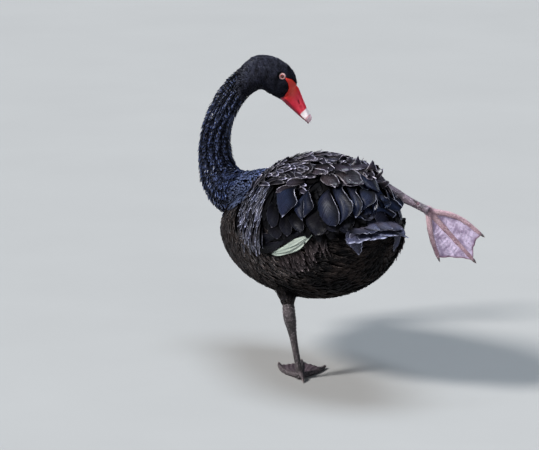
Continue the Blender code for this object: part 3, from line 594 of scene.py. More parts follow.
def vanes(name, surface, roots, ways, size, shape, paint, stands=()):
    # size: arrays of length, width, sink, rise and tone and more, one value a feather; shape: the outline that all share
    count, t = len(roots), np.asarray(shape["t"])
    length, width = size["length"][:, None], size["width"][:, None]
    rows = []
    points, normals = surface(roots)
    ways = flat(ways, normals)
    nothing = np.zeros(count)
    bend = size.get("bend", nothing)[:, None]
    for k in range(len(t)):
        if k:
            step = t[k] - t[k - 1]
            points, normals = surface(points + ways * length * step)
            ways = flat(ways, normals)
            ways = flat(ways + np.cross(normals, ways) * bend * step, normals)
        rows.append((points, normals, ways))
    middle, normal, way = (np.stack(a, 1) for a in zip(*rows))
    side = np.cross(normal, way)
    broad = np.asarray(shape["broad"])[None, :]
    height = -size["sink"][:, None] + (size["sink"] + size["rise"])[:, None] * t[None, :] ** 0.7
    ring = np.asarray(shape["ring"])  # (across, level) pairs, round the vane
    draw = np.random.default_rng(shape.get("seed", 3))
    frays = 1 - shape.get("ragged", 0.0) * draw.random((count, len(t), 2)) * ease(t, 0.25, 0.6)[None, :, None]
    ruffle, turn, curl, flare = (size.get(k, nothing)[:, None] for k in ("ruffle", "turn", "curl", "flare"))
    phase = draw.uniform(0, 6.28, (count, 1))
    lifted = curl * ease(t, 0.50, 1.0) ** 1.4
    out = np.empty((count, len(t), len(ring), 3))
    for k, (c, level) in enumerate(ring):
        reach = c * broad * width / 2 * (frays[:, :, 0 if c < 0 else 1] if abs(c) > 0.9 else 1)
        foot, n = middle + side * reach[..., None], normal
        if shape.get("hug"):
            foot, n = (a.reshape(middle.shape) for a in surface(foot.reshape(-1, 3)))
        wave = np.sin(t[None, :] * 9 + phase + (1.7 if c < 0 else 0)) * t[None, :]
        high = height + shape["thick"] * level * (1 - 0.5 * t[None, :]) - shape["camber"] * width * c * c * broad
        high = high + turn * c * broad + ruffle * abs(c) * wave
        high = high + lifted + flare * c * c * broad * ease(t, 0.2, 0.8)
        out[:, :, k] = foot + n * high[..., None]
    columns = len(ring)
    points = out.reshape(-1, 3)
    quads = tubesQuads(count, len(t), columns)
    quads = faceUp(quads, points, quads[0], normal[0, 0])
    across = np.broadcast_to(abs(ring[:, 0])[None, None], (count, len(t), columns))
    along = np.broadcast_to(t[None, :, None], across.shape)
    tone = np.broadcast_to(size["tone"][:, None, None], across.shape)
    signed = np.broadcast_to(ring[:, 0][None, None], across.shape)
    barb = (along * length[..., None] - across * broad[..., None] * width[..., None] * 0.45) / shape["barbs"]
    patch = unwrap(roots)[:, None, None] + np.stack([signed * bakePatch / 2, (along - 0.5) * bakePatch], -1)
    fields = {"edge": across, "along": along, "tone": tone, "barb": barb, "half": signed * shape.get("hand", 1)}
    makeMesh(name, points, quads, paint, fields, patch.reshape(-1, 2), stands, outward=False)
    print(name, "feathers", count, "triangles", len(quads) * 2)


slim = [(0, 0.5), (1, 0.0), (0, -0.5), (-1, 0.0)]
wide = [(-0.55, 0.45), (0, 0.6), (0.55, 0.45), (1, 0.0), (0.55, -0.45), (0, -0.5), (-0.55, -0.45), (-1, 0.0)]
broadRing = [(-0.85, 0.3), (-0.6, 0.5), (-0.3, 0.6), (0, 0.6), (0.3, 0.6), (0.6, 0.5), (0.85, 0.3), (1, 0.0),
             (0.85, -0.3), (0.45, -0.5), (0, -0.5), (-0.45, -0.5), (-0.85, -0.3), (-1, 0.0)]
vaneT = [0, 0.10, 0.20, 0.30, 0.40, 0.50, 0.58, 0.66, 0.74, 0.81, 0.87, 0.92, 0.96, 0.985, 1.0]
# the outlines: t and broad are the rows from root to tip and how broad each is; hug: follow the surface sideways too
shapes = {
    "tiny": {"t": [0, 0.4, 0.8, 1.0], "broad": [0.7, 1.0, 0.75, 0.2], "ring": slim, "thick": 0.0003, "camber": 0.10,
             "barbs": 0.0009},
    "small": {"t": [0, 0.3, 0.6, 0.85, 1.0], "broad": [0.6, 1.0, 0.95, 0.62, 0.12], "ring": slim, "thick": 0.0004,
              "camber": 0.12, "barbs": 0.0008},
    "body": {"t": [0, 0.25, 0.5, 0.75, 0.92, 1.0], "broad": [0.55, 0.9, 1.0, 0.85, 0.5, 0.12], "ring": slim,
             "thick": 0.0005, "camber": 0.10, "barbs": 0.0009, "ragged": 0.35},
    "round": {"t": vaneT, "ring": broadRing, "thick": 0.0007, "camber": 0.05, "barbs": 0.0008, "ragged": 0.08,
              "broad": [0.30, 0.55, 0.75, 0.88, 0.96, 1.0, 1.0, 0.97, 0.92, 0.83, 0.71, 0.56, 0.40, 0.24, 0.06]},
    "pointed": {"t": vaneT, "ring": wide, "thick": 0.0006, "camber": 0.07, "barbs": 0.0009, "ragged": 0.16, "hug": True,
                "broad": [0.35, 0.65, 0.88, 0.98, 1.0, 0.98, 0.94, 0.88, 0.79, 0.69, 0.58, 0.46, 0.33, 0.20, 0.06]},
    "flight": {"t": vaneT, "ring": wide, "thick": 0.0008, "camber": 0.02, "barbs": 0.0008, "ragged": 0.14, "hug": True,
               "broad": [0.10, 0.62, 0.92, 1.0, 1.0, 1.0, 1.0, 1.0, 0.97, 0.90, 0.80, 0.66, 0.49, 0.30, 0.10]},
}
petalSet = {"rows": 24, "thick": 0.0007, "bulge": 0.0032, "hollow": 0.0034, "barbs": 0.0008, "wave": 0.0004}


def petals(name, surface, pairs, paint, frontRim=1.0, stands=(), ragged=0.035):
    # single large feathers, each between its front and its rear edge, which meet at its tip
    draw = np.random.default_rng(len(name) + 40)
    t = np.linspace(0, 1, petalSet["rows"])[:, None]
    signed, level = np.array(broadRing).T
    share = (signed + 1) / 2
    points, patch, fields = [], [], {"edge": [], "along": [], "tone": [], "barb": [], "half": []}
    full = np.ones((len(t), len(share)))
    for front, rear in pairs:
        a, b = through(front, t[:, 0])[:, None], through(rear, t[:, 0])[:, None]
        fray = ragged * draw.random((len(t), 2)) * ease(t, 0.1, 0.4)
        s = share * (1 - fray[:, 1:]) + (1 - share) * fray[:, :1]
        p = a * (1 - s[..., None]) + b * s[..., None]
        width = np.linalg.norm(b - a, axis=-1)
        length = np.linalg.norm(np.diff((a + b)[:, 0] / 2, axis=0), axis=1).sum()
        n = surface(p.reshape(-1, 3))[1].reshape(p.shape)
        dome = 4 * share * (1 - share) * np.minimum(1, width / width.max() * 1.3)
        high = petalSet["bulge"] * dome * (1 - share) * 1.5 - petalSet["hollow"] * dome * share
        high = high + petalSet["thick"] * level * (1 - 0.5 * t)
        high = high + petalSet["wave"] * abs(signed) * np.sin(t * 23 + draw.uniform(0, 6)) * t
        p = p + n * (high * np.minimum(1, width.max() / 0.03))[..., None]
        points.append(p.reshape(-1, 3))
        fields["edge"].append(np.where(signed < 0, abs(signed) * frontRim, abs(signed)) * full)
        fields["along"].append(t * full)
        fields["tone"].append(draw.uniform(0.45, 1.0) * full)
        fields["barb"].append((t * length - abs(signed) * width * 0.45) / petalSet["barbs"])
        fields["half"].append(signed * full)
        patch.append(unwrap(p[:1, 0])[:, None] + np.stack([signed * full * bakePatch / 2, (t - 0.5) * full * bakePatch], -1))
    rows, columns = full.shape
    points = np.concatenate(points)
    quads = tubesQuads(len(pairs), rows, columns)
    corner = quads[rows // 2 * columns + 2]
    quads = faceUp(quads, points, corner, surface(points[corner[:1]])[1][0])
    fields = {key: np.concatenate([f.ravel() for f in field]) for key, field in fields.items()}
    makeMesh(name, points, quads, paint, fields, np.concatenate(patch).reshape(-1, 2), stands, outward=False)
    print(name, "feathers", len(pairs), "triangles", len(quads) * 2)


def sow(seed, spacing, allowed):  # scatters roots over the outer surface, no two nearer than the spacing there
    a, b, c, d = (skinPoints[skinQuads[:, i]] for i in range(4))
    area = np.linalg.norm(np.cross(c - a, d - b), axis=1) / 2
    middle = (a + b + c + d) / 4
    near = spacing(middle) + np.zeros(len(middle))
    want = np.where(allowed(middle), 7 * area / near**2, 0)  # seven tries for each place
    draw = np.random.default_rng(seed)
    which = np.repeat(np.arange(len(area)), np.floor(want + draw.random(len(want))).astype(int))
    u, v = draw.random(len(which))[:, None], draw.random(len(which))[:, None]
    p = a[which] * (1 - u) * (1 - v) + b[which] * u * (1 - v) + c[which] * u * v + d[which] * (1 - u) * v
    order = draw.permutation(len(p))
    p, gap = p[order], near[which][order]
    cells = np.floor(p / float(gap.max())).astype(int).tolist()
    around = [(i, j, k) for i in (-1, 0, 1) for j in (-1, 0, 1) for k in (-1, 0, 1)]
    grid, kept = {}, []
    for i, ((x, y, z), g, (cx, cy, cz)) in enumerate(zip(p.tolist(), gap.tolist(), cells)):
        taken = any((qx - x) ** 2 + (qy - y) ** 2 + (qz - z) ** 2 < g**2
                    for dx, dy, dz in around for qx, qy, qz in grid.get((cx + dx, cy + dy, cz + dz), ()))
        if not taken:
            grid.setdefault((cx, cy, cz), []).append((x, y, z))
            kept.append(i)
    return p[kept]


def isHead(p):
    head = toHead(p)
    near = np.linalg.norm(head, axis=1) < 0.085
    return near & ((head[:, 0] > -0.054) | (neckNearest(p)[0] > neckLength - 0.026))


# the bare red skin between eye and bill: its upper and its lower edge, as seen from the side
faceUpper = np.array([(0.0068, 0.0030), (0.0100, 0.0050), (0.0165, 0.0086), (0.0230, 0.0094), (0.0290, 0.0082),
                      (0.0350, 0.0052), (0.0405, 0.0034)])
faceLower = np.array([(0.0070, 0.0012), (0.0115, 0.0006), (0.0185, -0.0014), (0.0245, -0.0056), (0.0285, -0.0130),
                      (0.0298, -0.0205), (0.0345, -0.0262)])


def isBare(p):  # face skin round the eye and before it, where no feathers grow
    x, _, z = toHead(p).T
    top = np.interp(x, *faceUpper.T) - 0.0006
    low = np.interp(x, *faceLower.T) + 0.0006
    return isHead(p) & ((np.hypot(x, z) < 0.0066) | ((x > 0.0080) & (z < top) & (z > low)) | (x > 0.0350))


def isNeck(p):
    along, off, _ = neckNearest(p)
    return (along > 0.135) & (off < 1.5) & ~isHead(p)


def isLeg(p):
    found = np.zeros(len(p), dtype=bool)
    local = torsoEgg.local(p)
    outside = (local**2 / torsoEgg.sizes(local)**2).sum(1) > 1.03
    for leg in legs.values():
        share, near = alongLeg(leg, p)
        found |= (share > 0.45) & (share < 0.84) & (near < 0.045) & outside
    return found


def onShank(p):
    found = np.zeros(len(p), dtype=bool)
    for leg in legs.values():
        share, near = alongLeg(leg, p)
        found |= (share > 0.80) & (near < 0.02)
    return found


def underWing(p):  # deep under the wing feathers, where body feathers never show
    local = archEgg.local(p)
    local[:, 0] *= np.where(local[:, 0] < 0, archEgg.reach[2] / farEgg.reach[2], 1)
    front, rear = np.array([-0.150, -0.045]), np.array([0.215, 0.066])
    edge = front[1] + (p[:, 1] - front[0]) / (rear[0] - front[0]) * (rear[1] - front[1])
    inside = (local**2 / archEgg.sizes(local)**2).sum(1)
    return (p[:, 2] > edge + 0.016) & (inside > 0.80) & (inside < 1.15) & (local[:, 1] > -0.135) & (local[:, 1] < 0.165)


def onRump(p):
    return (p[:, 1] > 0.160) & (p[:, 2] > 0.024) & (abs(p[:, 0]) < 0.075)


def onBody(p):
    return ~isNeck(p) & ~isHead(p) & ~isLeg(p) & ~underWing(p) & ~onShank(p) & ~onRump(p)


def onHump(p):  # where the neck rises from the back
    return onBody(p) & (p[:, 1] < -0.02) & (p[:, 2] > 0.030 + 0.25 * (p[:, 1] + 0.12))


def contour(name, look, seed, spacing, allowed, sizes, shape):  # small feathers that follow the skin
    roots = sow(seed, spacing, allowed)
    points, normals = onSkin(roots[allowed(roots)])
    n = len(points)
    draw = np.random.default_rng(seed + 1)
    ways = unit(lie(points) + draw.normal(0, 0.10, (n, 3)))
    size = {key: value + np.zeros(n) for key, value in sizes(points).items()}
    size.setdefault("tone", draw.random(n))
    size["length"] = size["length"] * draw.normal(1, 0.07, n)
    size["width"] = size["width"] * draw.normal(1, 0.06, n)
    size["turn"] = draw.normal(0, 0.0006, n)
    size["rise"] = size["rise"] + draw.normal(0, 0.0003, n)
    vanes(name, onSkin, points, ways, size, shapes[shape], paints[look])


print("head feathers")
headSet = {"spacing": (0.00100, 0.0010), "length": (0.0025, 0.0050), "width": (0.0012, 0.0018), "sink": (0.0008, 0.0010),
           "rise": 0.0001, "blotch": 0.02}  # pairs: at the front, and how much more at the back


def backOfHead(p):
    return ease(toHead(p)[:, 0], 0.03, -0.05)


def headSizes(p):
    size = {key: headSet[key][0] + headSet[key][1] * backOfHead(p) for key in ("length", "width", "sink")}
    return {**size, "rise": headSet["rise"], "tone": 0.4 + 0.3 * noise3(p, headSet["blotch"], 4)}


contour("headCoat", "head", 21, lambda p: headSet["spacing"][0] + headSet["spacing"][1] * backOfHead(p),
        lambda p: isHead(p) & ~isBare(p), headSizes, "tiny")

print("neck feathers")
# the feathers stand in rings; plait is how they gather in tufts, and fine is how they grow finer towards the head
neckSet = {"columns": 56, "step": 0.0044, "twist": 0.9, "from": 0.125, "end": 0.020, "plaits": 13, "wander": (1.3, 21),
           "tuft": 0.0058, "fine": 0.42, "length": (0.0100, 0.0080), "width": (0.0046, 0.0050), "sink": (0.0022, 0.0018),
           "rise": 0.0027}


def neckRoots():
    roots, ways, shares = [], [], []
    s, row, columns = neckSet["from"], 0, neckSet["columns"]
    while s < neckLength - neckSet["end"]:
        radius = np.interp(s, neckLine["along"], neckLine["radius"])
        k = int(np.argmin(abs(neckLine["along"] - s)))
        way, side = neckLine["way"][k], neckLine["side"][k]
        turns = (np.arange(columns) + (row % 2) / 2) / columns * 2 * np.pi + neckSet["twist"] * s / neckLength * 2
        out = side * np.cos(turns)[:, None] + np.cross(way, side) * np.sin(turns)[:, None]
        roots.append(onLine(neckLine, "at", s) + out * radius)
        ways.append(np.broadcast_to(-way, out.shape))
        shares.append(np.stack([np.full(columns, s / neckLength), turns], -1))
        s += neckSet["step"] * (0.75 + 0.75 * radius / 0.045)
        row += 1
    return np.concatenate(roots), np.concatenate(ways), np.concatenate(shares)


def neckCoat():
    roots, ways, shares = neckRoots()
    points, _ = onSkin(roots)
    good = (np.linalg.norm(points - roots, axis=1) < 0.012) & ~isHead(points)
    points, ways, (share, turns) = points[good], ways[good], shares[good].T
    n = len(points)
    draw = np.random.default_rng(31)
    low = ease(share, 0.7, 0.2)
    bow, rate = neckSet["wander"]
    plait = np.sin(turns * neckSet["plaits"] + bow * np.sin(share * rate)) * 0.5 + 0.5
    plait = plait * (0.25 + 0.75 * np.clip(0.5 + 1.5 * noise3(points, neckSet["tuft"], 9), 0, 1))
    fine = 1 - neckSet["fine"] * ease(share, 0.78, 0.97)
    grown = {key: neckSet[key][0] + neckSet[key][1] * low for key in ("length", "width", "sink")}
    # tone follows the tufts: lighter on them and darker in the gaps between, painted highlight and shade over their
    # real relief
    size = {"length": grown["length"] * fine * draw.normal(1, 0.08, n), "width": grown["width"] * fine * draw.normal(1, 0.07, n),
            "sink": grown["sink"], "rise": 0.0002 + neckSet["rise"] * plait * fine**2 + draw.normal(0, 0.0004, n),
            "turn": draw.normal(0, 0.0006, n),
            "tone": np.clip(draw.random(n) * 0.30 + 1.30 * plait - 0.22, 0.02, 1) * fine**1.2, "bend": draw.normal(0, 0.12, n)}
    ways = unit(ways + draw.normal(0, 0.09, (n, 3)))
    vanes("neckCoat", onSkin, points, ways, size, shapes["small"], paints["neck"])


neckCoat()

print("body feathers")


def bodySizes(p):
    rear, breast = ease(p[:, 1], -0.12, 0.12), ease(p[:, 1], -0.10, -0.24)
    dark = 0.85 * ease(torsoEgg(p)[1][:, 2], -0.35, -0.75)  # painted shade: darker on the down-facing belly, and then the vent
    # painted shadow under the tail: feathers darkened towards the rear
    tone = (1 - dark) * (1 - 0.88 * ease(p[:, 1], 0.06, 0.16)) * np.random.default_rng(44).random(len(p)) ** (1 - 0.4 * breast)
    return {"length": 0.026 + 0.010 * rear - 0.006 * breast, "width": 0.0072 + 0.0040 * rear - 0.0018 * breast,
            "sink": 0.0045, "rise": 0.0004 + 0.0005 * rear, "tone": tone}


def bodySpacing(p):
    return 0.0049 + 0.0018 * ease(p[:, 1], -0.12, 0.12) - 0.0008 * ease(p[:, 1], -0.10, -0.24)


def humpSizes(p):
    # tone rises with height: the top lighter as painted light from above, the lower part darker as painted shade
    high = 0.12 + 0.88 * ease(p[:, 2], 0.030, 0.078)
    return {"length": 0.020, "width": 0.0046, "sink": 0.0030, "rise": 0.0012 + 0.0006 * noise3(p, 0.012, 8),
            "tone": high * np.random.default_rng(45).random(len(p)) ** 0.8}


def legSizes(p):
    low = np.zeros(len(p))
    for leg in legs.values():
        share, near = alongLeg(leg, p)
        low = np.where(near < 0.05, np.maximum(low, ease(share, 0.5, 0.84)), low)
    return {"length": 0.016 - 0.008 * low, "width": 0.0070 - 0.0040 * low, "sink": 0.0020 - 0.0012 * low, "rise": 0.0006}


# the hump's feathers take the look of painted sky reflection
contour("humpCoat", "hump", 46, lambda p: 0.0042, onHump, humpSizes, "body")
contour("bodyFrontCoat", "body", 41, bodySpacing, lambda p: onBody(p) & ~onHump(p) & (p[:, 1] < 0.0), bodySizes, "body")
contour("bodyRearCoat", "body", 51, bodySpacing, lambda p: onBody(p) & (p[:, 1] >= 0.0), bodySizes, "body")
contour("legCoat", "body", 61, lambda p: 0.0034, isLeg, legSizes, "small")
down = grainPaint("underDown", 420.0, 4.0, (0.0010, 0.0010, 0.0014), (0.0040, 0.0036, 0.0044), 0.7, (0.8, 0.0012),
                  constants={"Specular IOR Level": 0.02})
makeMesh("skin", skinPoints - skinNormals * coatDepth(skinPoints)[:, None], skinQuads, down,
         uv=unwrap(skinPoints), stands=flesh, outward=False)

print("wing feathers")
# each group: first and last row back along the wing and how many, first and last angle from the wing's midline in degrees
# and how many, then values for its front and its rear, or one for both
wingGroups = {
    "shoulder": {"back": (-0.172, 0.006, 16), "angle": (42, 88, 13), "sweep": (60, 84), "length": (0.030, 0.040),
                 "width": (0.0090, 0.0120), "sink": 0.0062, "rise": 0.0014, "curl": 0.0006, "flare": 0.0006,
                 "ruffle": 0.0008, "jitter": 0.34, "paint": "shoulder"},
    "mantle": {"back": (-0.176, 0.034, 8), "angle": (3, 46, 16), "sweep": (-4, 6), "length": (0.074, 0.088),
               "width": (0.0105, 0.0130), "sink": 0.0062, "rise": 0.0046, "curl": 0.0006, "flare": 0.0008,
               "ruffle": 0.0006, "jitter": 0.30, "paint": "mantle"},
    # under, backRow and capRow take the deep look: near-black layers in the hollows, painted shade
    "under": {"back": (0.000, 0.174, 8), "angle": (44, 70, 4), "sweep": (62, 76), "length": (0.044, 0.046),
              "width": (0.024, 0.028), "sink": 0.0062, "rise": 0.0002, "curl": 0.0002, "flare": 0.0004,
              "ruffle": 0.0006, "jitter": 0.16, "paint": "deep"},
    "backRow": {"back": (0.050, 0.150, 6), "angle": (3, 46, 6), "sweep": (2, 30), "length": (0.056, 0.060),
                "width": (0.022, 0.026), "sink": 0.0060, "rise": 0.0004, "curl": 0.0004, "flare": 0.0006,
                "ruffle": 0.0006, "jitter": 0.20, "paint": "deep"},
    "capRow": {"back": (0.150, 0.196, 5), "angle": (6, 66, 7), "sweep": (6, 24), "length": (0.040, 0.034),
               "width": (0.022, 0.024), "sink": 0.0058, "rise": 0.0006, "curl": 0.0006, "flare": 0.0010,
               "ruffle": 0.0008, "jitter": 0.34, "paint": "deep"},
    "crest": {"back": (0.076, 0.142, 4), "angle": (-2, 22, 3), "sweep": (0, 20), "length": (0.038, 0.042),
              "width": (0.019, 0.021), "sink": 0.0010, "rise": 0.0056, "curl": 0.0080, "flare": 0.0030,
              "ruffle": 0.0040, "jitter": 0.70, "paint": "mantle"},
}
# the large feathers that show singly, each by its front and its rear edge from root to tip: millimetres back along the
# wing's arch, degrees down from its midline, millimetres above it
wingPetals = {
    "shade": [
        ([(148, 63, 1), (137, 69.5, 1), (131, 76.5, 1), (139, 85, 2), (151, 92, 3)],
         [(171, 64.5, 1), (175, 75, 1), (169, 87, 2), (161, 92, 3), (151, 92, 3)]),
        ([(169, 75.5, 0), (167, 83.5, 1), (170, 87, 1), (177, 89.5, 2)],
         [(188, 75, 0), (188, 83, 1), (183, 89, 1), (177, 89.5, 2)]),
        ([(188, 69, 0), (188, 76.5, 0), (190, 83, 1), (194, 89, 1)],
         [(198, 58, 0), (201, 68.5, 0), (200, 80.5, 1), (194, 89, 1)]),
        ([(201, 50, 1), (203, 55.5, 1), (207, 55.5, 1), (210, 52, 2)],
         [(205, 13.5, 1), (209, 12, 1), (211, 28.5, 1), (210, 52, 2)]),
        ([(41, 64, 2), (33, 70, 2), (38, 77, 3), (54, 84, 3)],
         [(68, 69.5, 3), (73, 75.5, 3), (69, 82, 3), (54, 84, 3)]),
        ([(77, 73, 2), (73, 81, 2), (81, 87, 3), (94, 91, 3)],
         [(102, 74.5, 3), (106, 81.5, 3), (104, 88, 3), (94, 91, 3)]),
        ([(101, 71.5, 2), (97, 78, 2), (109, 84.5, 3), (123, 88, 3)],
         [(129, 73.5, 3), (131, 80.5, 3), (130, 85.5, 3), (123, 88, 3)]),
        ([(41, 80, 1), (39, 86, 1), (52, 90.5, 2), (67, 93, 2)],
         [(72, 80, 2), (81, 85, 2), (77, 90.5, 2), (67, 93, 2)]),
        ([(204, -52, 1), (206, -60, 2), (207, -60, 3), (206, -60, 3)],
         [(193, -60, 2), (198, -60, 3), (203, -60, 4), (206, -60, 3)]),
    ],
    "wing": [
        ([(54, 52, 3), (49, 58, 3), (60, 65.5, 4), (72, 71.5, 5), (85, 76, 7)],
         [(97, 49, 9), (102, 55, 13), (118, 63, 14), (106, 68.5, 10), (85, 76, 7)]),
        ([(117, 49, 2), (110, 59, 2), (105, 67, 3), (115, 73, 4), (129, 78, 6)],
         [(123, 49.5, 6), (125, 60, 8), (130, 68, 8), (131, 73.5, 8), (129, 78, 6)]),
        ([(122, 49.5, 3), (123, 59.5, 5), (127, 67, 6), (129, 71.5, 6), (131, 75, 6)],
         [(129, 38.5, 10), (127, 49, 14), (140, 57.5, 14), (147, 65, 11), (131, 75, 6)]),
        ([(153, 40, 5), (147, 50.5, 3), (148, 61, 4), (159, 73, 5), (171, 81, 6), (182, 82, 7)],
         [(155, 42, 9), (169, 49.5, 13), (180, 57, 14), (186, 67, 12), (186, 77, 9), (182, 82, 7)]),
        ([(152, 36, 3), (168, 46.5, 4), (180, 56.5, 5), (185, 67.5, 5), (186, 77, 5), (186, 80, 5)],
         [(166, 27.5, 10), (173, 35, 14), (185, 39.5, 15), (194, 45, 15), (196, 61, 12), (186, 80, 6)]),
        ([(170, 27, 3), (185, 35, 4), (194, 44.5, 4), (197, 56, 4), (201, 63, 5)],
         [(182, 19, 10), (187, 27, 14), (194, 29, 14), (200, 33.5, 13), (203, 52, 8), (201, 63, 5)]),
        ([(182, 17.5, 4), (194, 26, 4), (201, 33, 4), (203, 48, 5)],
         [(193, -1, 10), (200, 1, 13), (204, 9, 12), (204, 30.5, 8), (203, 48, 5)]),
        ([(197, 3, 3), (203, 13, 3), (208, 18.5, 4), (211, 23, 5)],
         [(196, -5.5, 8), (203, 0.5, 10), (208, 8, 11), (211, 24.5, 6)]),
        ([(152, 10.5, 6), (169, 7.5, 7), (182, 8.5, 8), (190, 1.5, 9), (194, -8, 10)],
         [(157, -9, 8), (172, -11.5, 10), (184, -11, 11), (193, -10, 12), (194, -8, 10)]),
        ([(204, 0.5, 2), (210, 16, 3), (212, -5, 4), (212, -60, 6)],
         [(207, -24, 5), (207, -41, 8), (206, -58.5, 9), (209, -60, 8), (212, -60, 6)]),
        ([(202, -18, 3), (206, -20, 5), (207, -36, 6), (203, -58, 7), (198, -60, 8)],
         [(194, -34, 6), (193, -46.5, 8), (194, -55, 10), (194, -60, 10), (198, -60, 8)]),
        ([(186, -47, 4), (194, -54, 5), (197, -60, 7), (199, -60, 9)],
         [(179, -53, 5), (183, -60, 8), (191, -60, 10), (199, -60, 9)]),
        ([(195, -11.5, 5), (202, -9.5, 9), (204, -17.5, 10), (202, -32, 10)],
         [(195, -16.5, 8), (200, -18, 13), (200, -25, 13), (202, -32, 10)]),
        ([(201, -24.5, 4), (204, -24.5, 7), (207, -18.5, 9), (208, -16.5, 9)],
         [(200, -31.5, 7), (203, -33, 11), (207, -25.5, 12), (208, -16.5, 9)]),
    ],
    "cape": [
        ([(109, 45, 8), (90, 50, 8), (76, 51, 9), (69, 49, 10)],
         [(104, 43, 10), (86, 43, 12), (73, 46, 12), (69, 49, 10)]),
        ([(102, 49, 5), (76, 53.5, 6), (60, 57, 7), (52, 57.5, 8)],
         [(98, 48.5, 8), (72, 50.5, 10), (56, 54, 10), (52, 57, 8)]),
        ([(125, 32, 8), (131, 37, 9), (143, 39.5, 10), (156, 39, 11), (165, 35, 12)],
         [(130, 27.5, 9), (142, 25.5, 11), (154, 27, 13), (163, 31, 14), (165, 35, 12)]),
        ([(130, 26, 9), (147, 25, 10), (162, 27, 11), (174, 28.5, 12), (181, 20, 13), (183, 10, 14)],
         [(141, 15, 9), (152, 6.5, 11), (164, 5, 13), (176, 8.5, 15), (183, 10, 14)]),
        ([(88, 39, 7), (102, 35, 8), (119, 34, 9), (132, 30, 10)],
         [(90, 30, 8), (107, 28.5, 10), (125, 27, 12), (132, 30, 10)]),
        ([(94, 27, 8), (115, 28, 9), (130, 27, 10), (134, 23.5, 11)],
         [(107, 18, 9), (123, 18.5, 11), (133, 20, 12), (134, 23.5, 11)]),
        ([(128, 11, 8), (150, 7.5, 9), (154, -0.5, 10), (145, -12.5, 11)],
         [(117, 3.5, 9), (119, -4.5, 10), (129, -10.5, 12), (145, -12.5, 11)]),
        ([(123, 21, 7), (140, 20.5, 8), (148, 15, 9), (150, 7, 10)],
         [(111, 13, 8), (117, 7, 9), (134, 5, 11), (150, 7, 10)]),
        ([(151, 3.5, 7), (165, 1, 8), (174, -0.5, 9), (177, -5.5, 10)],
         [(136, -11, 8), (148, -13.5, 9), (165, -13, 11), (177, -5.5, 10)]),
        ([(144, 8.5, 6), (139, 3, 10), (132, -1.5, 15), (124, -6, 19)],
         [(152, -7.5, 6), (142, -7, 10), (132, -6, 15), (124, -6, 19)]),
        ([(157, -2.5, 6), (151, -8, 10), (140, -14, 14), (130, -18.5, 18)],
         [(159, -21, 6), (148, -21, 10), (139, -19.5, 14), (130, -18.5, 18)]),
        ([(165, -13, 6), (161, -18.5, 10), (155, -23, 14), (149, -24.5, 17)],
         [(172, -16, 6), (165, -21, 10), (158, -24, 14), (149, -24.5, 17)]),
        ([(123, 9, 6), (121, 5, 9), (118, 1.5, 12), (115, -1.5, 14)],
         [(137, -2.5, 6), (128, -3, 9), (122, -2.5, 12), (115, -1.5, 14)]),
        ([(177, -16.5, 6), (175, -22, 9), (173, -25.5, 12), (175, -28.5, 14)],
         [(186, -20.5, 6), (181, -26.5, 9), (178, -29, 12), (175, -28.5, 14)]),
    ],
}


def archPlace(back, angle):  # a place on the wing's arch and the way down it
    q = np.stack([np.sin(angle), back, np.cos(angle)], -1)
    size = archEgg.sizes(q)
    scale = np.sqrt(np.maximum(0.05, 1 - (back / size[:, 1]) ** 2))
    q = np.stack([size[:, 0] * np.sin(angle) * scale, back, size[:, 2] * np.cos(angle) * scale], -1)
    down = np.stack([np.cos(angle), 0 * angle, -np.sin(angle)], -1)
    return q @ archEgg.turn.T + archEgg.centre, down @ archEgg.turn.T


def wingRows(side, name, egg, mirror):
    for order, (group, g) in enumerate(wingGroups.items()):
        draw = np.random.default_rng(71 + order * 2 + (side < 0))
        (nearest, furthest, rows), (top, bottom, across) = g["back"], g["angle"]
        i, j = (a.ravel() for a in np.meshgrid(np.arange(rows), np.arange(across), indexing="ij"))
        n = len(i)
        u = np.clip((i + 0.5 * (j % 2) + draw.normal(0, g["jitter"], n)) / (rows - 0.5), -0.03, 1.03)
        v = (j + draw.normal(0, g["jitter"], n)) / (across - 1)
        back = nearest + (furthest - nearest) * u
        angle = np.radians(top + (bottom - top) * v)
        sweep = g["sweep"][0] + (g["sweep"][1] - g["sweep"][0]) * u
        sweep = np.radians(sweep + draw.normal(0, 5 + 10 * g["jitter"], n))
        roots, down = archPlace(back, angle)
        ways = archEgg.turn[:, 1] * np.cos(sweep)[:, None] + down * np.sin(sweep)[:, None]

        def spread(key, vary):
            low, high = g[key] if isinstance(g[key], tuple) else (g[key], g[key])
            return (low + (high - low) * u) * draw.normal(1, vary, n)
        size = {"length": spread("length", 0.07), "width": spread("width", 0.06), "sink": np.full(n, g["sink"]),
                "rise": spread("rise", 0.10), "curl": spread("curl", 0.45), "flare": spread("flare", 0.30),
                "ruffle": spread("ruffle", 0.4), "tone": draw.random(n),
                "turn": side * draw.normal(0.0006, 0.0008, n), "bend": side * draw.normal(0, 0.25, n)}
        if side < 0:  # the far wing lies flatter
            size["rise"], size["flare"] = size["rise"] * 0.6, size["flare"] * 0.6
        vanes(group + "Coat_" + name, egg, roots * mirror, ways * mirror, size,
              {**shapes["pointed"], "seed": 5 + order, "hand": side}, paints[g["paint"]],
              ("wing_" + name,) if order == 0 else ())


def wingCoat(side, name):
    egg, mirror = archEgg if side > 0 else farEgg, np.array([side, 1, 1])
    wingRows(side, name, egg, mirror)
    draw = np.random.default_rng(97 + (side < 0))
    for look, feathers in wingPetals.items():
        pairs = []
        for edges in feathers:
            shift = draw.normal(0, 0.0 if side > 0 else 1.0, 2) * (4, 3)
            pairs.append([])
            for edge in edges:
                back, angle, rise = np.array(edge, float).T
                p, _ = archPlace((back + shift[0]) / 1000, np.radians(angle + shift[1]))
                p, n = egg(p * mirror)
                pairs[-1].append(p + n * (rise * (1.0 if side > 0 else 0.5) / 1000)[:, None])
        petals(look + "Large_" + name, egg, pairs, paints[look], 1.0 if look == "cape" else 0.86)


for side, name in sides:
    wingCoat(side, name)

print("flight feathers")
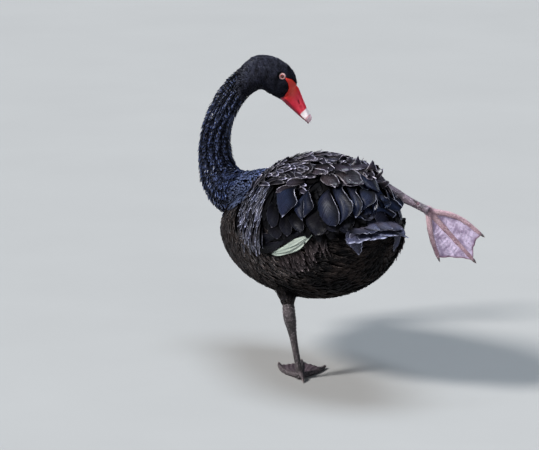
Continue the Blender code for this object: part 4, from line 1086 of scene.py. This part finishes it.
# the white feathers and their coverts, each by its upper and its lower edge from root to tip, in millimetres
sidePetals = {
    "white": [
        ([(119, 65, -29), (119, 80, -18), (115, 107, -5), (109, 129, 11), (102, 146, 18), (92, 168, 24)],
         [(119, 65, -29), (116, 84, -29), (111, 110, -21), (104, 137, -10), (100, 151, 2), (92, 168, 24)]),
        ([(120, 79, -20), (116, 109, -5), (110, 130, 10), (103, 148, 18), (95, 164, 23)],
         [(119, 77, -26), (113, 112, -16), (106, 137, -3), (102, 151, 9), (95, 164, 23)]),
        ([(117, 107, -6), (111, 132, 10), (104, 149, 18), (94, 168, 24)],
         [(116, 106, -13), (110, 131, -2), (104, 149, 10), (94, 168, 24)]),
    ],
    "shade": [
        ([(129, 29, -12), (126, 69, -6), (122, 96, 1), (114, 124, 13)],
         [(125, 30, -34), (124, 65, -26), (121, 94, -11), (114, 124, 13)]),
        ([(125, 73, 7), (119, 107, 14), (112, 134, 22), (102, 153, 30)],
         [(123, 78, -14), (118, 112, -2), (111, 137, 14), (102, 153, 30)]),
        ([(117, 107, 22), (108, 137, 28), (100, 158, 33), (90, 174, 36)],
         [(116, 114, 3), (109, 141, 14), (100, 161, 24), (90, 174, 36)]),
        ([(130, 9, 3), (128, 49, 8), (126, 78, 11), (121, 98, 14)],
         [(129, 13, -17), (128, 49, -12), (126, 78, -1), (121, 98, 14)]),
    ],
}
# loose feathers that hang below the white ones: y, feathers in a row, each row's height, length, width, way
flankSet = {"from": 0.082, "to": 0.184, "count": 24, "rows": (0.0025, -0.0050, -0.0130), "length": 0.026, "width": 0.0080,
            "heading": (0, 0.38, -0.92), "edge": ([0.067, 0.102, 0.129, 0.1435, 0.1577, 0.1685],
                                                  [-0.031, -0.022, -0.013, -0.0046, 0.0125, 0.024])}


def sidePlace(y, z, side):  # a place on the body's side from how far along and how high it is
    q = torsoEgg.local(np.stack([0 * y, y, z], -1))
    size = torsoEgg.sizes(q)
    room = 1 - (q[:, 1] / size[:, 1])**2 - (q[:, 2] / size[:, 2])**2
    q[:, 0] = side * size[:, 0] * np.sqrt(np.maximum(0.02, room))
    return q @ torsoEgg.turn.T + torsoEgg.centre


def inMetres(feathers, side=1):
    return [[np.array(edge) * np.array([side, 1, 1]) / 1000 for edge in edges] for edges in feathers]


def sideCoat(side, name):
    petals("flightCoat_" + name, torsoEgg, inMetres(sidePetals["white"], side), paints["white"],
           stands=("flight_" + name,))
    petals("coverCoat_" + name, torsoEgg, inMetres(sidePetals["shade"], side), paints["shade"])
    draw = np.random.default_rng(81)
    y, z, length = [], [], []
    count = flankSet["count"]
    for drop in flankSet["rows"]:
        y.append(np.linspace(flankSet["from"], flankSet["to"], count) + draw.normal(0, 0.003, count))
        z.append(np.interp(y[-1], *flankSet["edge"]) + drop + draw.normal(0, 0.0015, count))
        length.append(flankSet["length"] * draw.normal(1, 0.15, count))
    y, z, length = (np.concatenate(a) for a in (y, z, length))
    n = len(y)
    ways = unit(np.array(flankSet["heading"]) + draw.normal(0, 0.22, (n, 3)))
    size = {"length": length, "width": flankSet["width"] * draw.normal(1, 0.12, n), "sink": np.full(n, 0.0010),
            "rise": 0.0034 + draw.normal(0, 0.0007, n), "tone": 0.3 + 0.7 * draw.random(n),
            "ruffle": 0.0016 * draw.random(n), "turn": side * draw.normal(0.0, 0.0012, n), "curl": 0.0016 * draw.random(n)}
    vanes("flankCoat_" + name, torsoEgg, sidePlace(y, z, side), ways, size,
          {**shapes["pointed"], "ragged": 0.75, "seed": 9}, paints["flank"])


for side, name in sides:
    sideCoat(side, name)

print("tail feathers")
tailTiers = [
    {"count": 11, "spread": 40, "length": 0.084, "width": 0.034, "level": 0.0000, "start": 0.016},
    {"count": 9, "spread": 44, "length": 0.060, "width": 0.036, "level": 0.0024, "start": 0.004},
    {"count": 8, "spread": 40, "length": 0.054, "width": 0.036, "level": 0.0050, "start": -0.024},
]
# coverts over the tail's root
rumpSet = {"from": 0.120, "step": 0.015, "rows": 6, "across": 6, "half": 0.064, "length": 0.050, "width": 0.030}
# tail coverts, by both edges from root to tip, in millimetres: those that hang over each side, those over the middle
hangingPetals = [
    ([(39, 224, 49), (49, 225, 37), (53, 226, 24), (50, 227, 9), (35, 231, -7)],
     [(29, 230, 50), (31, 238, 36), (30, 240, 18), (30, 237, 2), (35, 231, -7)]),
    ([(35, 229, 49), (33, 237, 40), (30, 241, 28), (28, 241, 21)],
     [(7, 238, 50), (7, 244, 42), (17, 245, 33), (28, 241, 21)]),
    ([(45, 216, 49), (53, 217, 38), (56, 217, 27), (54, 219, 15), (46, 224, 6)],
     [(35, 224, 49), (38, 230, 35), (40, 230, 19), (43, 228, 11), (46, 224, 6)]),
]
tailPetals = [
    ([(42, 213, 47), (19, 216, 51), (7, 234, 49), (10, 262, 42)],
     [(57, 241, 36), (45, 259, 36), (29, 269, 38), (10, 262, 42)]),
    ([(14, 216, 52), (-5, 224, 52), (-14, 245, 48), (-12, 268, 43)],
     [(33, 245, 43), (22, 265, 41), (6, 273, 41), (-12, 268, 43)]),
    ([(-7, 221, 52), (-24, 230, 50), (-30, 251, 46), (-27, 275, 41)],
     [(13, 253, 44), (3, 270, 42), (-12, 280, 41), (-27, 275, 41)]),
    ([(-27, 225, 49), (-38, 238, 44), (-37, 260, 40), (-29, 283, 35)],
     [(-8, 255, 43), (-13, 274, 39), (-17, 288, 35), (-29, 283, 35)]),
]


def tailCoat():
    draw = np.random.default_rng(91)
    roots, ways, length, width, level = [], [], [], [], []
    for tier in tailTiers:
        share = np.linspace(-1, 1, tier["count"])
        turn = np.radians(tier["spread"] * share + draw.normal(0, 1.2, tier["count"]))
        ways.append(np.stack([np.sin(turn), np.cos(turn), 0 * turn], -1) @ tailRoof.turn.T)
        roots.append(tailRoof.root + ways[-1] * tier["start"])
        length.append(tier["length"] * (1 - 0.10 * share**2) * draw.normal(1, 0.04, tier["count"]))
        width.append(np.full(tier["count"], tier["width"]))
        level.append(tier["level"] + 0.0030 * (1 - abs(share)) + draw.normal(0, 0.0006, tier["count"]))
    roots, ways, length, width, level = (np.concatenate(a) for a in (roots, ways, length, width, level))
    n = len(roots)
    size = {"length": length, "width": width, "sink": 0.006 - level, "rise": level, "tone": 0.55 + 0.45 * draw.random(n),
            "ruffle": 0.0006 * draw.random(n)}
    vanes("tailCoat", tailRoof, roots, ways, size, {**shapes["flight"], "seed": 7}, paints["tail"], ("tail",))
    rows, across = (a.ravel() for a in np.meshgrid(np.arange(rumpSet["rows"]), np.arange(rumpSet["across"]), indexing="ij"))
    n = len(rows)
    place = (across + 0.5 * (rows % 2)) / (rumpSet["across"] - 0.5) * 2 - 1
    x = rumpSet["half"] * place + draw.normal(0, 0.002, n)
    y = rumpSet["from"] + rows * rumpSet["step"] + draw.normal(0, 0.002, n)
    roots, _ = onSkin(np.stack([x, y, np.full(n, 0.075)], -1))
    ways = unit(np.stack([x * 6, np.ones(n), 0 * x - 0.2], -1) + draw.normal(0, 0.05, (n, 3)))
    size = {"length": rumpSet["length"] * draw.normal(1, 0.08, n), "width": rumpSet["width"] * draw.normal(1, 0.08, n),
            "sink": np.full(n, 0.004), "rise": np.full(n, 0.0022), "tone": draw.random(n),
            "ruffle": 0.0008 * draw.random(n), "flare": np.full(n, 0.0008)}
    vanes("rumpCoat", onSkin, roots, ways, size, {**shapes["round"], "seed": 15}, paints["tail"])
    petals("tailCovertCoat", tailRoof, inMetres(tailPetals), paints["tail"], ragged=0.12)
    for side, name in sides:
        petals("hangingCoat_" + name, torsoEgg, inMetres(hangingPetals, side), paints["tail"], ragged=0.16)


tailCoat()

print("bill")
# seen from the side, as distances before and above the eye; under: points across the closed bill's inner face
billSet = {"base": 0.0300, "tip": 0.1004, "line": -0.0262, "half": 0.0130, "band": (0.0765, 0.0888),
           "nostril": (0.0578, -0.0116), "slant": 0.385, "around": 56, "under": 8}
ridgeLine = np.array([(0.0300, 0.0070), (0.0350, 0.0060), (0.0413, 0.0048), (0.0500, 0.0012), (0.0597, -0.0030),
                      (0.0680, -0.0064), (0.0764, -0.0096), (0.0850, -0.0124), (0.0930, -0.0146), (0.0970, -0.0162),
                      (0.0990, -0.0182), (0.1000, -0.0205), (0.1004, -0.0235)])


def billTop(a):
    return np.interp(a, *ridgeLine.T) - 0.0030 * (1 - ease(a, 0.0300, 0.0365))


def billHalf(a):
    share = np.clip((a - 0.035) / (billSet["tip"] - 0.035), 0, 1)
    nail = np.clip((share - 0.70) / 0.30, 0, 1)
    half = billSet["half"] * (1 - 0.17 * np.sin(np.pi * share)) * np.sqrt(np.maximum(0.012, 1 - nail**2.6))
    return half * (0.88 + 0.12 * ease(a, 0.0300, 0.0365))


def billDrop(a):  # how far the tip's lower edge hooks down
    return 0.0026 * ease(a, 0.0880, 0.1000)


def billPaint():
    p = Paint("billSkin", {"Specular IOR Level": 0.45})
    a, b, hole, gape = (p.attribute(name) for name in ("billAlong", "billHigh", "hole", "gape"))
    grain, coarse = p.noise(220.0, 4.0), p.noise(55.0)
    blotch = p.band(coarse, 0.35, 0.65)
    base = p.mix(blotch, (0.52, 0.010, 0.030), (0.70, 0.030, 0.060))
    base = p.mix(p.band(a, 0.052, 0.030), base, p.mix(blotch, (0.60, 0.022, 0.012), (0.76, 0.058, 0.030)))
    base = p.mix(p.band(b, -0.0190, -0.0262) * 0.5, base, (0.36, 0.008, 0.030))
    wobble = a + (coarse - 0.5) * 0.0050
    start, end = billSet["band"]
    pale = p.band(wobble, start - 0.0012, start + 0.0012) * (1.0 - p.band(wobble, end - 0.0010, end + 0.0022))
    base = p.mix(pale, base, p.mix(grain, (0.78, 0.66, 0.68), (0.90, 0.84, 0.84)))
    base = p.mix(p.band(wobble, end, end + 0.0030), base, p.mix(grain, (0.80, 0.48, 0.54), (0.95, 0.72, 0.76)))
    # a dark line along the upper bill's lower edge: painted shade in the gap over the lower bill
    base = p.mix((1.0 - p.band(b, -0.0262, -0.0250)) * 0.7 * (1.0 - pale), base, (0.10, 0.006, 0.012))
    # the nostril's slot painted near-black: painted shade in the hole
    base = p.mix(hole, base, (0.035, 0.002, 0.006))
    base = p.mix(gape * 0.7, base, (0.62, 0.42, 0.42))
    height = grain * 0.5 + p.noise(700.0, 2.0) * 0.3 + p.noise(90.0) * 0.8
    return p.finish(base, 0.30 + 0.18 * grain, p.bump(height, 0.35, 0.0005))


billMaterial = billPaint()


def nostril(a, z, high, long):  # 1 in a slanting slot of that height and length, 0 outside it
    a0, z0 = billSet["nostril"]
    slant = (z - z0) + (a - a0) * billSet["slant"]
    return np.exp(-(slant / high) ** 2) * math.exp(-((a - a0) / long) ** 4)


def upperBill():
    line, around, under = (billSet[key] for key in ("line", "around", "under"))
    along = np.concatenate([np.linspace(billSet["base"], 0.086, 60), np.linspace(0.0864, 0.0994, 34),
                            np.linspace(0.0996, billSet["tip"], 5)])
    turns = np.pi * np.arange(around) / (around - 1)
    squared = np.sin(turns) ** 0.80
    points, high, holes = [], [], []
    for a in along:
        top, drop = billTop(a), billDrop(a)
        y, z = billHalf(a) * np.cos(turns), line + (top - line) * squared
        # the sides fall in beside the ridge, the tip's nail bulges, and the nostril has a raised rim
        pinch = 0.13 * np.exp(-((z - (top - 0.0075)) / 0.0040) ** 2)
        y = y * (1 - pinch * ease(a, 0.034, 0.050) * (1 - ease(a, 0.080, 0.092)))
        z = z + 0.0006 * math.exp(-((a - 0.0945) / 0.0035) ** 2) * np.sin(turns) ** 3
        slot = nostril(a, z, 0.00105, 0.0040)
        rim = np.clip(nostril(a, z, 0.0024, 0.0056) - slot, 0, 1)
        y = y + np.sign(np.cos(turns)) * (0.0005 * rim - 0.0022 * slot)
        z = z - drop * (1 - squared) ** 0.6
        across = np.linspace(y[-1], y[0], under + 2)[1:-1]
        ring = [np.full(around + under, a), np.concatenate([y, across]),
                np.concatenate([z, np.full(under, line + 0.0006 - drop)])]
        points.append(fromHead(np.stack(ring, -1)))
        high.append(np.concatenate([z, np.full(under, line)]))
        holes.append(np.concatenate([ease(slot, 0.25, 0.8), np.zeros(under)]))
    fields = {"billAlong": np.repeat(along, around + under), "billHigh": np.concatenate(high), "hole": np.concatenate(holes)}
    makeMesh("upperBill", np.concatenate(points), tubeQuads(len(along), around + under), billMaterial, fields,
             stands=("bill_upper",))


def lowerBill():
    along = np.linspace(0.0290, 0.0950, 60)
    around, under, points = 24, 12, []
    turns = np.pi + np.pi * np.arange(around) / (around - 1)
    for a in along:
        share = np.clip((a - 0.035) / 0.060, 0, 1)
        deep = 0.0064 * (1 - 0.62 * share**1.3) * math.sqrt(max(0.02, 1 - share**9))
        level = billSet["line"] - 0.0003 - billDrop(a) * 0.8
        y = billHalf(a) * 0.95 * np.cos(turns)
        ring = [np.full(around + under, a), np.concatenate([y, np.linspace(y[-1], y[0], under + 2)[1:-1]]),
                np.concatenate([level - deep * abs(np.sin(turns)) ** 0.75, np.full(under, level)])]
        points.append(fromHead(np.stack(ring, -1)))
    dark = grainPaint("lowerBillSkin", 200.0, 4.0, (0.11, 0.006, 0.016), (0.30, 0.016, 0.036), 0.34, (0.4, 0.0004))
    makeMesh("lowerBill", np.concatenate(points), tubeQuads(len(along), around + under), dark,
             stands=("bill_lower",))


upperBill()
lowerBill()

# the bare face skin lies on the head and runs out on the bill
faceGrid = {"rows": 44, "columns": 34}


def alongCurve(curve, share):
    d = np.concatenate([[0], np.cumsum(np.linalg.norm(np.diff(curve, axis=0), axis=1))])
    return np.stack([np.interp(share * d[-1], d, curve[:, i]) for i in (0, 1)], -1)


def billSide(a, z):  # half width of the upper bill at that height
    line = billSet["line"]
    high = np.clip((z - line) / (billTop(a) - line), 0, 1) ** (1 / 0.80)
    return billHalf(a) * np.sqrt(np.maximum(0, 1 - high**2))


def headSide(a, z, side):  # how far out the head's surface is there
    start = Vector(fromHead([a, side * 0.05, z]))
    hit = skinTree.ray_cast(start, Vector(-headLeft * side), 0.06)[0]
    return toHead(np.array(hit))[1] * side if hit is not None else 0.0


def facePatch(side, name):
    rows, columns = faceGrid["rows"], faceGrid["columns"]
    share = np.linspace(0, 1, rows)
    mix = np.linspace(0, 1, columns)[None, :, None]
    places = alongCurve(faceUpper, share)[:, None] * (1 - mix) + alongCurve(faceLower, share)[:, None] * mix
    a, b = places[..., 0], places[..., 1]
    onHead = np.array([[headSide(*place, side) for place in row] for row in places])
    onBill = billSide(a, b)
    out = np.maximum(onHead, onBill) + 0.0009 * np.exp(-((onHead - onBill) / 0.0012) ** 2)
    rim = np.minimum(np.arange(columns), columns - 1 - np.arange(columns))[None, :] / 4
    edge = np.minimum(1, np.minimum(rim, np.arange(rows)[:, None] / 3))
    fade = 1 - ease(share, 0.86, 1.0)[:, None]
    out = out + (-0.0012 + 0.0016 * edge) * fade - 0.0005 * (1 - fade)
    folds = 0.00012 * np.sin(b * 2600 + a * 900) * edge * fade
    top = fromHead(np.stack([a, side * (out + folds), b], -1).reshape(-1, 3))
    gape = np.exp(-((a - 0.0335) ** 2 + (b + 0.0255) ** 2) / 0.0013**2)
    fields = {key: np.tile(value.ravel(), 2) for key, value in (("billAlong", a), ("billHigh", b), ("gape", gape))}
    makeMesh("face_" + name, np.concatenate([top, top - headLeft * side * 0.0020]), sheetQuads(rows, columns), billMaterial,
             fields)


for side, name in sides:
    facePatch(side, name)

print("eyes")
eyeSet = {"centre": (0.0008, 0.0135, 0.0006), "ball": 0.0058, "opening": 0.0041, "outer": 0.0066, "iris": 0.0046,
          "pupil": 0.0025}


def eyePaint():
    p = Paint("eyeBall", {"Coat Roughness": 0.03})
    r = p.attribute("eyeOut")
    fibres = p.node("TexNoise", {}, {"Vector": p.place(), "Scale": 900.0, "Detail": 3.0})
    iris = p.mix(fibres, (0.20, 0.010, 0.008), (0.55, 0.050, 0.025))
    base = p.mix(p.band(r, eyeSet["pupil"] - 0.0002, eyeSet["pupil"] + 0.0002), (0.004, 0.003, 0.003), iris)
    base = p.mix(p.band(r, eyeSet["iris"] - 0.0004, eyeSet["iris"] + 0.0003), base, (0.05, 0.012, 0.010))
    return p.finish(base, 0.10, coat=1.0)


eyeMaterial = eyePaint()
lidMaterial = grainPaint("lidSkin", 700.0, 4.0, (0.50, 0.22, 0.22), (0.82, 0.58, 0.56), 0.45, (0.6, 0.0003), band=(0.3, 0.7))


def eye(side, name):
    centre = np.array(eyeSet["centre"]) * [1, side, 1]
    rings, around = 28, 48
    a, points, out = turnsOf(around), [], []
    for turn in np.pi * (0.02 + 0.96 * np.arange(rings) / (rings - 1)):
        r, y = eyeSet["ball"] * math.sin(turn), eyeSet["ball"] * math.cos(turn)
        points.append(fromHead(centre + np.stack([r * np.cos(a), np.full(around, y * side), r * np.sin(a)], -1)))
        out.append(np.full(around, r if y > 0 else eyeSet["ball"]))
    makeMesh("eyeBall_" + name, np.concatenate(points), tubeQuads(rings, around), eyeMaterial,
             {"eyeOut": np.concatenate(out)}, stands=("eye_" + name,))
    # the lids: a soft ring with a slightly flattened opening
    rings, around = 12, 56
    a, points, outer = turnsOf(around), [], eyeSet["outer"]
    opening = eyeSet["opening"] * (1 - 0.10 * np.sin(a) ** 2)
    for turn in turnsOf(rings):
        r = (opening + outer) / 2 + (outer - opening) / 2 * math.cos(turn)
        dome = np.sqrt(np.maximum(0, outer**2 - (r * 0.98) ** 2))
        proud = 0.0014 + dome * 0.72 + 0.0006 * math.sin(turn) + 0.00008 * np.sin(a * 23)
        if math.sin(turn) <= 0:
            proud = proud - 0.0008
        points.append(fromHead(centre + np.stack([r * np.cos(a), side * proud, r * np.sin(a)], -1)))
    quads = gridQuads(rings + 1, around, True) % (rings * around)
    makeMesh("lid_ring_" + name, np.concatenate(points), quads, lidMaterial, stands=("lid_" + name,), outward=False)


for side, name in sides:
    eye(side, name)

print("legs")


def scalePaint(name, dark, light, scaleHighlight, plate):
    p = Paint(name)
    cells, pick = p.cells(plate, "DISTANCE_TO_EDGE"), p.node("SeparateColor", {}, {0: p.cells(plate, "F1", out=1)})
    seam, blotch = 1.0 - p.band(cells, 0.02, 0.12), p.noise(45.0, 4.0)
    base = p.mix(p.band(blotch, 0.38, 0.64), dark, light)
    # painted highlights: some scales picked out lighter
    base = p.mix(p.band(pick, 0.55, 0.95) * 0.5, base, scaleHighlight)
    base = p.mix(seam * 0.7, base, [c * 0.35 for c in dark])
    height = p.band(cells, 0.0, 0.22) + p.noise(800.0, 2.0) * 0.2
    return p.finish(base, 0.38 + 0.25 * blotch, p.bump(height, 0.6, 0.0006))


# the raised leg's skin is given much lighter colours than the standing leg's: painted light on the lit raised foot
legPaints = {
    "left": scalePaint("standingLegSkin", (0.012, 0.009, 0.010), (0.052, 0.039, 0.044), (0.240, 0.200, 0.220), 420.0),
    "right": scalePaint("raisedLegSkin", (0.050, 0.036, 0.048), (0.190, 0.140, 0.180), (0.36, 0.290, 0.340), 420.0),
}
shankSet = {"rings": 220, "around": 36, "bulk": {"left": 1.0, "right": 1.16}}


def shank(name):
    leg, bulk = legs[name], shankSet["bulk"][name]
    ankle, foot = leg["ankle"], leg["foot"]
    way, above = unit(foot - ankle), leg["knee"] - ankle
    line = smoothLine([(*place, radius) for place, radius in (
        (ankle + above * 0.24, 0.0104), (ankle + above * 0.14, 0.0112), (ankle, 0.0114), (ankle + way * 0.012, 0.0108),
        (ankle + way * 0.025, 0.0086 * bulk), (ankle + way * 0.045, 0.0066 * bulk),
        (ankle + (foot - ankle) * 0.75, 0.0057 * bulk), (foot, 0.0062 * bulk))], 10)
    a, points = turnsOf(shankSet["around"]), []
    for t in np.linspace(0, 1, shankSet["rings"]):
        d = line["along"][-1] * t
        side = unit(onLine(line, "side", d))
        up = np.cross(unit(onLine(line, "way", d)), side)
        # wrinkles round the ankle, scales lower down
        ridge = abs(np.sin(t * 62 + 0.5 * np.sin(a * 2 + 1) + 0.25 * np.sin(a * 5)))
        rings = 0.055 * (1 - ridge) ** 2 * ease(t, 0.52, 0.34) + 0.010 * math.sin(t * 150)
        scales = 0.012 * np.sin(a * 9 + 3 * math.sin(t * 60))
        r = (np.interp(d, line["along"], line["radius"]) * (1 - rings + scales))[:, None]
        points.append(onLine(line, "at", d) + side * np.cos(a)[:, None] * r + up * np.sin(a)[:, None] * r)
    makeMesh("shankSkin_" + name, np.concatenate(points), tubeQuads(shankSet["rings"], shankSet["around"]), legPaints[name],
             stands=("shank_" + name,))


for _, name in sides:
    shank(name)

print("feet")
# front toes: length, heading in degrees, how far the toe bows outward; hind: places and radii along the hind toe and
# its claw; claw: forward, up and radius along a front claw
footSet = {
    "inner": (0.086, -30, -0.05), "middle": (0.120, 0, 0.0), "outer": (0.104, 23, 0.10),
    "hind": [(-0.002, 0, 0.013, 0.0044), (-0.014, -0.004, 0.0090, 0.0036), (-0.024, -0.006, 0.0050, 0.0026)],
    "hindClaw": [(-0.0225, -0.0057, 0.0055, 0.0022), (-0.029, -0.0066, 0.0034, 0.0014), (-0.0335, -0.007, 0.0012, 0.0004)],
    "claw": [(-0.006, 0.0038, 0.0030), (0.0005, 0.0046, 0.0027), (0.0040, 0.0038, 0.0018), (0.0070, 0.0014, 0.0004)],
    "slots": {"left": "leg_skin", "right": "web_skin"}}
frontToes = ("inner", "middle", "outer")
webGrid = {"rows": 44, "columns": 64}


def toeAt(toe, hand, t):  # places along a toe, in the foot's own plane
    length, angle, bow = footSet[toe]
    angle = math.radians(angle) * hand
    way, across = np.array([math.cos(angle), math.sin(angle)]), np.array([-math.sin(angle), math.cos(angle)]) * hand
    t = np.asarray(t)[..., None]
    return way * length * t + across * bow * length * np.sin(np.pi * np.clip(t, 0, 1)) ** 1.2


def toeRings(toe, hand):
    t = np.linspace(0, 1, 70)
    spine = toeAt(toe, hand, t)
    tangent = unit(np.gradient(spine, axis=0))
    high = np.interp(t, [0, 0.14, 0.45, 0.75, 1], [0.0085, 0.0050, 0.0042, 0.0036, 0.0031])[:, None]
    joints = 1 + 0.10 * sum(np.exp(-((t - j) / 0.035) ** 2) for j in (0.36, 0.64, 0.88)) + 0.025 * np.sin(t * 160)
    radius = np.interp(t, [0, 0.14, 0.45, 0.75, 0.96, 1], [0.0062, 0.0054, 0.0046, 0.0040, 0.0034, 0.0016]) * joints
    a = turnsOf(16)
    out = np.cos(a) * radius[:, None]
    z = np.maximum(high + np.sin(a) * radius[:, None], 0.0002)
    return np.stack([spine[:, :1] - tangent[:, 1:] * out, spine[:, 1:] + tangent[:, :1] * out, z], -1)


def padRings():  # the joint over the toes' roots
    t, a = np.linspace(0, 1, 14)[:, None], turnsOf(20)
    r = 0.0088 * np.sqrt(np.maximum(0.02, 1 - (2 * t - 1) ** 4)) * (1 + 0.03 * np.sin(a * 7))
    return np.stack([r * np.cos(a), r * np.sin(a), 0.0002 + 0.0135 * t + 0 * a], -1)


def lineRings(stations, steps, around, narrow=1.0, lowest=-1.0):
    line, a = smoothLine(stations, steps), turnsOf(around)[:, None]
    rings = [at + (side * np.cos(a) * narrow + np.cross(way, side) * np.sin(a)) * radius
             for at, way, side, radius in zip(*(line[key] for key in ("at", "way", "side", "radius")))]
    return np.maximum(rings, [-1, -1, lowest])


def clawRings(toe, hand):
    end = toeAt(toe, hand, 1.0)
    way = unit(end - toeAt(toe, hand, 0.95))
    return lineRings([(*(end + way * on), up, radius) for on, up, radius in footSet["claw"]], 8, 14, 0.85, 0.0004)


def web(first, second, hand):  # the sheet between two toes: its upper and its lower face, and how near the rim each place is
    share, out = np.meshgrid(*(np.linspace(0, 1, webGrid[key]) for key in ("rows", "columns")), indexing="ij")
    hollow = 0.022 if first == "inner" else 0.055
    reach = 0.985 - hollow * np.sin(np.pi * share) - 0.006 * np.sin(share * 17 + 2)
    t, s = 0.07 + (reach - 0.07) * out, share[..., None]
    x, y = np.moveaxis(toeAt(first, hand, t) * (1 - s) + toeAt(second, hand, t) * s, -1, 0)
    crease = 0.0008 * np.sin(share * 30 + out * 3 + 1.5 * np.sin(out * 6)) * out
    crease = crease + 0.0003 * np.sin(np.hypot(x, y) * 900 + share * 9)
    z = 0.0014 + 0.0030 * (1 - out) ** 2 + np.sin(np.pi * share) * (0.0006 + crease)
    faces = [np.stack([x, y, z + thick], -1).reshape(-1, 3) for thick in (0.0011 - 0.0004 * out, 0)]
    rim = np.maximum(ease(out, 0.95, 1.0), ease(abs(share - 0.5), 0.38, 0.5) * 0.55)
    return np.concatenate(faces), np.tile(rim.ravel(), 2)


def footPlace(name):
    if name == "left":
        turn = math.radians(-120)
        return -bodyAt, [[math.cos(turn), math.sin(turn), 0], [-math.sin(turn), math.cos(turn), 0], [0, 0, 1]]
    toe = unit(np.array([-0.588, 0.316, -0.743]))
    sole = np.array([0.459, 0.864, 0.208])
    up = -unit(sole - toe * (sole @ toe))
    return legs["right"]["foot"], [toe, np.cross(up, toe), up]


def foot(hand, name):
    origin, axes = footPlace(name)

    def put(points):
        return points @ np.array(axes) + origin

    def hind(part, steps, around):
        return lineRings(np.array(footSet[part]) * [1, hand, 1, 1], steps, around)

    def tubes(piece, paint, parts, stands=()):
        starts = np.cumsum([0] + [rings.shape[0] * rings.shape[1] for rings in parts])
        quads = [tubeQuads(*rings.shape[:2], start) for rings, start in zip(parts, starts)]
        points = put(np.concatenate([rings.reshape(-1, 3) for rings in parts]))
        makeMesh(piece + name, points, np.concatenate(quads), paint, stands=stands, outward=False)
    tubes("toes_", footPaints[name], [*(toeRings(toe, hand) for toe in frontToes), hind("hind", 14, 12), padRings()],
          ("foot_" + name,))
    points, rim = (np.concatenate(a) for a in zip(web("inner", "middle", hand), web("middle", "outer", hand)))
    rows, columns = webGrid["rows"], webGrid["columns"]
    quads = np.concatenate([sheetQuads(rows, columns, start) for start in (0, 2 * rows * columns)])
    makeMesh("webs_" + name, put(points), quads, webPaints[name], {"rim": rim}, outward=False)
    tubes("claws_", clawMaterial, [*(clawRings(toe, hand) for toe in frontToes), hind("hindClaw", 8, 14)])


def webPaint(name, dark, light, rimColour):
    p = Paint(name)
    rim, cells, blotch = p.attribute("rim"), p.cells(520.0, "DISTANCE_TO_EDGE"), p.noise(70.0, 6.0)
    creases = p.node("TexNoise", {}, {"Vector": p.place(), "Scale": 210.0, "Detail": 6.0, "Roughness": 0.75,
                                      "Distortion": 1.4})
    base = p.mix(p.band(blotch, 0.34, 0.66), dark, light)
    # painted shade: darker in the creases
    base = p.mix(p.band(creases, 0.50, 0.62) * 0.65, base, [c * 0.6 for c in dark])
    base = p.mix(rim * 0.85, base, rimColour)
    height = p.band(cells, 0.0, 0.2) * 0.5 + creases
    return p.finish(base, 0.40 + 0.2 * blotch, p.bump(height, 0.7, 0.0006))


# the raised web lighter than the standing one: painted light
webPaints = {
    "left": webPaint("standingWebSkin", (0.040, 0.028, 0.036), (0.095, 0.068, 0.084), (0.024, 0.010, 0.014)),
    "right": webPaint("raisedWebSkin", (0.260, 0.190, 0.300), (0.620, 0.520, 0.700), (0.170, 0.050, 0.085)),
}
# the raised toes lighter and pinker than the standing ones: painted light and highlight
footPaints = {
    "left": legPaints["left"],
    "right": scalePaint("raisedToeSkin", (0.30, 0.165, 0.210), (0.50, 0.330, 0.370), (0.62, 0.460, 0.480), 380.0),
}
clawMaterial = grainPaint("claw", 240.0, 3.0, (0.050, 0.038, 0.040), (0.160, 0.125, 0.125), 0.30, (0.3, 0.0003))
for side, name in sides:
    foot(side, name)

print("stage")


def stage():
    mesh = bpy.data.meshes.new("floor")
    mesh.from_pydata([(-6, -6, 0), (6, -6, 0), (6, 6, 0), (-6, 6, 0)], [], [(0, 1, 2, 3)])
    floor = bpy.data.objects.new("floor", mesh)
    bpy.context.scene.collection.objects.link(floor)
    p = Paint("paleFloor")
    mesh.materials.append(p.finish(p.mix(p.noise(3.0), (0.265, 0.265, 0.262), (0.29, 0.29, 0.287)), 0.75))
    world = bpy.data.worlds.new("studio")
    world.use_nodes = True
    back = world.node_tree.nodes["Background"]
    back.inputs[0].default_value, back.inputs[1].default_value = (0.72, 0.82, 1.0, 1.0), 0.13
    bpy.context.scene.world = world
    bpy.context.scene.view_settings.view_transform = "Standard"
    for name, kind, place, power, size, colour in (
            ("key", "SUN", (3.8, -0.2, 3.9), 5.4, 0.24, (1.0, 0.98, 0.96)),
            ("top", "SUN", (-0.3, -0.5, 4.6), 2.9, 0.55, (0.80, 0.90, 1.0)),
            ("fill", "AREA", (0.6, 4.9, 2.0), 60, 2.4, (0.92, 0.95, 1.0))):
        light = bpy.data.lights.new(name, kind)
        light.energy, light.color = power, colour
        setattr(light, "angle" if kind == "SUN" else "size", size)
        obj = bpy.data.objects.new(name, light)
        obj.location = place
        obj.rotation_euler = (Vector((0, 0, 0.27)) - Vector(place)).to_track_quat("-Z", "Y").to_euler()
        bpy.context.scene.collection.objects.link(obj)


def camera():
    azimuth, elevation, distance = math.radians(152), math.radians(12), 7.0
    level = math.cos(elevation)
    back = Vector((math.sin(azimuth) * level, -math.cos(azimuth) * level, math.sin(elevation)))
    right = Vector((math.cos(azimuth), math.sin(azimuth), 0))
    lens = bpy.data.cameras.new("photo")
    lens.sensor_width, lens.lens = 36, 3889 * 36 / 539
    obj = bpy.data.objects.new("photo", lens)
    aim = Vector(bodyAt) - right * 0.0783
    axes = Matrix((right, back.cross(right), back)).transposed()
    obj.matrix_world = Matrix.Translation(aim + back * distance) @ axes.to_4x4()
    bpy.context.scene.collection.objects.link(obj)
    bpy.context.scene.camera = obj


stage()
camera()

print("done")
